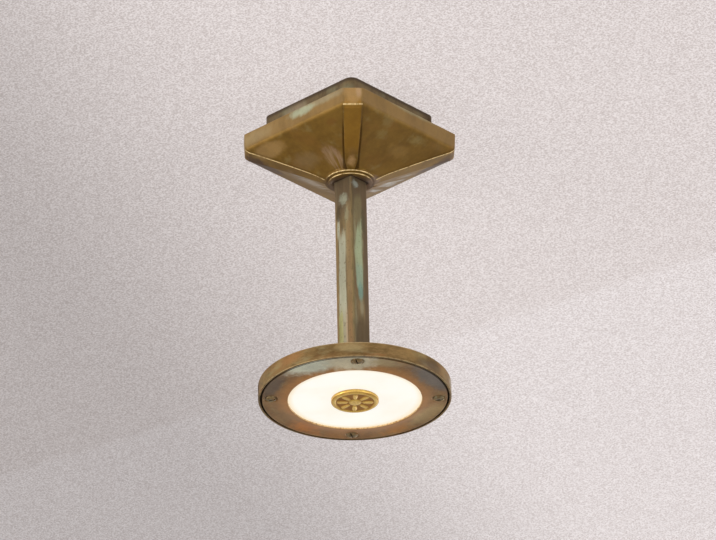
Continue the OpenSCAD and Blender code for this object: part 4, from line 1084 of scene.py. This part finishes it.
def makeMedal(form=medalForm):
    face, radius, stud = form["face"] + headLow, form["radius"], form["stud"]
    back, tip = form["back"] + headLow, form["studTop"] + headLow
    angles = [2 * math.pi * i / form["turns"] for i in range(form["turns"])]
    rings, wears = [], []

    def addRing(r, heights, wearHighlightShade):
        rings.append([(r * math.cos(angle), r * math.sin(angle), z) for angle, z in zip(angles, heights)])
        wears.append(wearHighlightShade)

    for k in range(1, form["rows"]):
        r = radius * (k / form["rows"])
        proud = [medalHeight(r, angle) for angle in angles]
        # raised parts are marked for rubbed gold, the hollows for painted shade
        addRing(r, [face - height for height in proud],
                [max(-1.0, min(1.0, (height / form["relief"] - 0.38) * 1.9)) for height in proud])
    bevel = form["studBevel"]
    for r, z, wearHighlightShade in ((radius, face + 0.3, 0.5), (radius, back, 0.0), (stud, back, 0.0),
                       (stud, tip - bevel, 0.0), (stud - bevel, tip, 0.0)):
        addRing(r, [z] * len(angles), wearHighlightShade)
    return capped(rings, wears, (face - form["domeH"], 0.8), (tip, 0.0))


addPiece("medallionDisc", makeMedal(), agedBrass("medallionBrass", medalLook), stands="medallion",
         weighted=False)
print("glass and medallion ready")

# wires as smooth round sleeves, along the part's routes

wireForm = {"radius": 0.8, "roundness": 5, "steps": 6}       # steps from one point to the next
liveRoute = [(-9, -21, -9.5), (-9, -17, -9.5), (-8.5, -13, -11.5), (4, -11.5, -12.5), (16, -8, -12.5),
             (20, 2, -12.5), (26, 9, -11.5), (29.5, 15, -10.5), (27.5, 18, -10), (23.1, 18, -10)]
neutralRoute = [(9, -21, -9.5), (9, -17, -9.5), (10, -13.5, -9), (17, -9, -8), (22.5, 1, -8), (30, 10, -8),
                (33.5, 17, -8.7), (31, 21.5, -9.6), (27, 22.5, -10), (23.1, 22.5, -10)]
earthRoute = [(0, -21, -9.5), (0, -17, -9.5), (-1.5, -13, -10), (-8, -10, -9), (-14.5, -9, -6.5),
              (-19.5, -9, -4.4), (-22.5, -9, -4)]
redRoute = [(-23.1, 18, -10), (-27.5, 17.5, -11), (-28, 12, -12), (-21, 6, -13), (-12, 1.5, -13.3),
            (-5, 0.2, -13.4), (-2, 0, -14.6), (-1.2, 0, -17.5)]
blackRoute = [(-23.1, 22.5, -10), (-29.5, 22.5, -9), (-33, 16, -8.5), (-26, 9, -9), (-13, 5, -9.2),
              (-4, 1.5, -9.6), (0.4, 0.2, -11.3), (1.2, 0, -15), (1.2, 0, -18)]
ledTail = [(1.2, 12.4), (1.5, 10.9), (3.2, 10.1), (7, 9.9), (11, 10.4), (14.5, 12), (15.4, 14.6)]


def plasticPaint(name, colour, worn, rough=0.45, size=6.0, relief=0.05, stripe=None, shine=0.3):
    # moulded or extruded plastic: slight clouding, fine texture, and an optional stripe
    paint = Paint(name)
    cloud = paint.grain(size, 4, 0.55, shift=size)
    fine = paint.grain(0.5, 2, 0.5, shift=3)
    mixed = paint.mix(paint.fit(cloud, 0.3, 0.75), colour, worn)
    if stripe:
        bands = paint.add("ShaderNodeTexWave", wave_type="BANDS", bands_direction="DIAGONAL")
        paint.put(bands.inputs["Vector"], paint.place)
        paint.put(bands.inputs["Scale"], 190.0)
        mixed = paint.mix(paint.fit(bands.outputs["Fac"], 0.45, 0.55), mixed, stripe)
    paint.set(Base_Color=mixed, Roughness=paint.fit(cloud, 0.2, 0.8, rough - 0.08, rough + 0.12),
              Specular_IOR_Level=0.4, Coat_Weight=shine, Coat_Roughness=0.3)
    paint.bump(fine, relief, 0.5)
    return paint.material


def smoothRoute(points, steps):
    # the same smooth curve through the points as the part's wires
    route = []
    for i in range(len(points) - 1):
        a, b = Vector(points[max(i - 1, 0)]), Vector(points[i])
        c, d = Vector(points[i + 1]), Vector(points[min(i + 2, len(points) - 1)])
        for s in range(steps):
            t = s / steps
            route.append(0.5 * (2 * b + (c - a) * t + (2 * a - 5 * b + 4 * c - d) * t * t
                                + (3 * b - a - 3 * c + d) * t ** 3))
    route.append(Vector(points[-1]))
    return route


def addWire(name, routes, paint, stands, form=wireForm):
    curve = bpy.data.curves.new(name, "CURVE")
    curve.dimensions = "3D"
    curve.bevel_depth = form["radius"] * mm
    curve.bevel_resolution = form["roundness"]
    curve.use_fill_caps = True
    points = [p for route in routes for p in smoothRoute(route, form["steps"])]
    spline = curve.splines.new("POLY")
    spline.points.add(len(points) - 1)
    for point, p in zip(spline.points, points):
        point.co = (*(p * mm), 1)
    spline.use_smooth = True
    curve.materials.append(paint)
    wire = addObject(name, curve)
    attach(wire, "lamp")
    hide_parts(stands)


def tail(side):
    return [(side * x, 0, headLow + z) for x, z in ledTail]


brown, blue = ((104, 62, 34), (84, 48, 26)), ((48, 92, 168), (36, 74, 140))
green, red = ((70, 140, 52), (56, 118, 42)), ((176, 38, 32), (148, 28, 24))
black = ((44, 44, 46), (30, 30, 32))
wires = (      # piece, CAD node, slot, routes, its material and colours, and a stripe
    ("liveSleeve", "live_wire", "brown_wire", (liveRoute,), "brownSleeve", brown, None),
    ("neutralSleeve", "neutral_wire", "blue_wire", (neutralRoute,), "blueSleeve", blue, None),
    ("earthSleeve", "earth_wire", "green_wire", (earthRoute,), "earthPaint", green, tone(226, 202, 48)),
    ("redSleeve", "led_wire_red", "red_wire", (redRoute, tail(-1)), "redPaint", red, None),
    ("blackSleeve", "led_wire_black", "black_wire", (blackRoute, tail(1)), "blackPaint", black, None),
)
for name, node, slot, routes, sleeve, (colour, worn), stripe in wires:
    addWire(name, routes, plasticPaint(sleeve, tone(*colour), tone(*worn), stripe=stripe), node)
print("wires ready")

# finishes of the CAD nodes that stay


def steelPaint(name, pale, dark, size=4.0, rough=0.34):
    # zinc plated steel: faint spangle, fine brushing, slightly bright edges and painted shade in its
    # crevices
    paint = Paint(name)
    spangle = paint.grain(size, 4, 0.6, shift=size)
    brush = paint.grain(0.6, 3, 0.5, stretch=(0.12, 1, 1), shift=8)
    colour = paint.mix(paint.fit(spangle, 0.32, 0.68), pale, dark)
    edge, normal = paint.edges(0.25)
    colour = paint.mix(paint.calc("MULTIPLY", edge, 0.6), colour, tone(226, 226, 222))
    # painted shade: crevices darkened by ambient occlusion
    colour = paint.mix(paint.crevice(2, 0.4, 0.9), colour, shaded(dark, 0.35))
    brushed = paint.fit(brush, 0.2, 0.8, rough - 0.1, rough + 0.14)
    paint.set(Base_Color=colour, Metallic=0.9, Roughness=brushed)
    paint.bump(brush, 0.03, 0.5, normal)
    return paint.material


def rubberPaint(name, pale, dark):
    paint = Paint(name)
    cloud = paint.grain(5, 4, 0.6, shift=4)
    dust = paint.grain(0.8, 3, 0.7, shift=9)
    colour = paint.mix(paint.fit(cloud, 0.3, 0.7), dark, pale)
    colour = paint.mix(paint.fit(dust, 0.6, 0.8, 0.0, 0.35), colour, tone(120, 116, 108))
    paint.set(Base_Color=colour, Roughness=paint.fit(dust, 0.2, 0.8, 0.66, 0.88), Specular_IOR_Level=0.3)
    paint.bump(dust, 0.05, 0.6, paint.softNormal(0.3))
    return paint.material


def boardPaint():
    # white solder mask with the faint rings of its copper underneath
    paint = Paint("boardMask")
    _, away = paint.fromAxis()
    rings = paint.calc("ABSOLUTE", paint.calc("SINE", paint.calc("MULTIPLY", away, 690.0)))
    cloud = paint.grain(8, 3, 0.5)
    track = paint.fit(rings, 0.12, 0.2)
    colour = paint.mix(track, tone(206, 206, 196), tone(238, 238, 232))
    colour = paint.mix(paint.fit(cloud, 0.4, 0.8, 0.0, 0.3), colour, tone(226, 222, 208))
    paint.set(Base_Color=colour, Roughness=0.38, Specular_IOR_Level=0.45)
    paint.bump(track, 0.04, 0.6, paint.softNormal(0.2))
    return paint.material


def chipPaint():
    # yellow phosphor inside a pale frame, lit a little
    paint = Paint("chipPhosphor")
    cloud = paint.grain(1.2, 3, 0.5)
    edge, normal = paint.edges(0.45, 0.02, 0.3)
    colour = paint.mix(paint.fit(cloud, 0.3, 0.7), tone(244, 214, 92), tone(236, 196, 70))
    colour = paint.mix(edge, colour, tone(240, 238, 226))
    paint.set(Base_Color=colour, Roughness=0.3, Emission_Color=colour, Emission_Strength=0.4)
    paint.bump(cloud, 0.03, 0.4, normal)
    return paint.material


def satinPaint(name, pale, shade, rough=0.5):
    # painted or moulded surface with soft edges, a faint orange peel and painted shade in its crevices
    paint = Paint(name)
    cloud = paint.grain(11, 4, 0.55, shift=7)
    peel = paint.grain(1.4, 2, 0.4, shift=2)
    colour = paint.mix(paint.fit(cloud, 0.32, 0.72), pale, shade)
    # painted shade: crevices darkened by ambient occlusion
    colour = paint.mix(paint.crevice(3, 0.4, 0.9), colour, shaded(shade, 0.5))
    paint.set(Base_Color=colour, Roughness=paint.fit(peel, 0.2, 0.8, rough - 0.06, rough + 0.08))
    paint.bump(peel, 0.04, 0.4, paint.softNormal(0.4))
    return paint.material


turnedLook = dict(medalLook, dark=tone(150, 118, 58), light=tone(196, 162, 92), blotch=5, rustShare=0.2,
                  patinaShare=0.3, dirtAndShade=tone(90, 66, 34), gold=tone(236, 206, 136), wearAndHighlightShare=0.7,
                  rough=0.32, edgeWidth=0.4)
finishes = (
    (agedBrass("baseBrass", baseLook, cadEdges=True), ("ceiling_base",)),
    (agedBrass("topRingBrass", topRingLook, cadEdges=True), ("canopy_top_ring",)),
    (agedBrass("turnedBrass", turnedLook, cadEdges=True),
     ("upper_nipple", "upper_nut", "upper_plug", "lower_nipple", "lower_nut", "lower_plug",
      "medallion_nut")),
    (steelPaint("zincSteel", tone(176, 178, 178), tone(140, 143, 146)),
     ("hanger_bar", "hanger_screws", "upper_washer", "lower_washer", "terminal_screws", "driver_screws",
      "board_screws", "earth_lug", "medallion_washers")),
    (steelPaint("darkSteel", tone(92, 90, 86), tone(64, 62, 60), 2.0, 0.42), ("canopy_grub_screw",)),
    (steelPaint("greenZinc", tone(132, 164, 110), tone(96, 128, 78), 2.0, 0.36), ("earth_screw",)),
    (rubberPaint("blackRubber", tone(62, 60, 58), tone(38, 37, 36)),
     ("ceiling_seal", "cable_grommet", "medallion_pad")),
    (rubberPaint("brownRubber", tone(78, 60, 40), tone(52, 40, 28)), ("stem_seal",)),
    (rubberPaint("greyRubber", tone(128, 124, 118), tone(96, 93, 88)), ("glass_gasket",)),
    (plasticPaint("ivoryMoulding", tone(226, 220, 198), tone(214, 204, 178), 0.35, 9, 0.04, shine=0.4),
     ("terminal_block",)),
    (satinPaint("driverCase", tone(224, 224, 222), tone(208, 208, 206), 0.5), ("led_driver",)),
    (satinPaint("reflectorWhite", tone(240, 240, 236), tone(228, 227, 222), 0.4), ("reflector",)),
    (boardPaint(), ("led_board",)),
    (chipPaint(), ("led_chips",)),
)
for finish, nodeNames in finishes:
    for nodeName in nodeNames:
        mesh = cadNodes[nodeName].data
        mesh.materials.clear()
        mesh.materials.append(finish)
print("finishes ready")
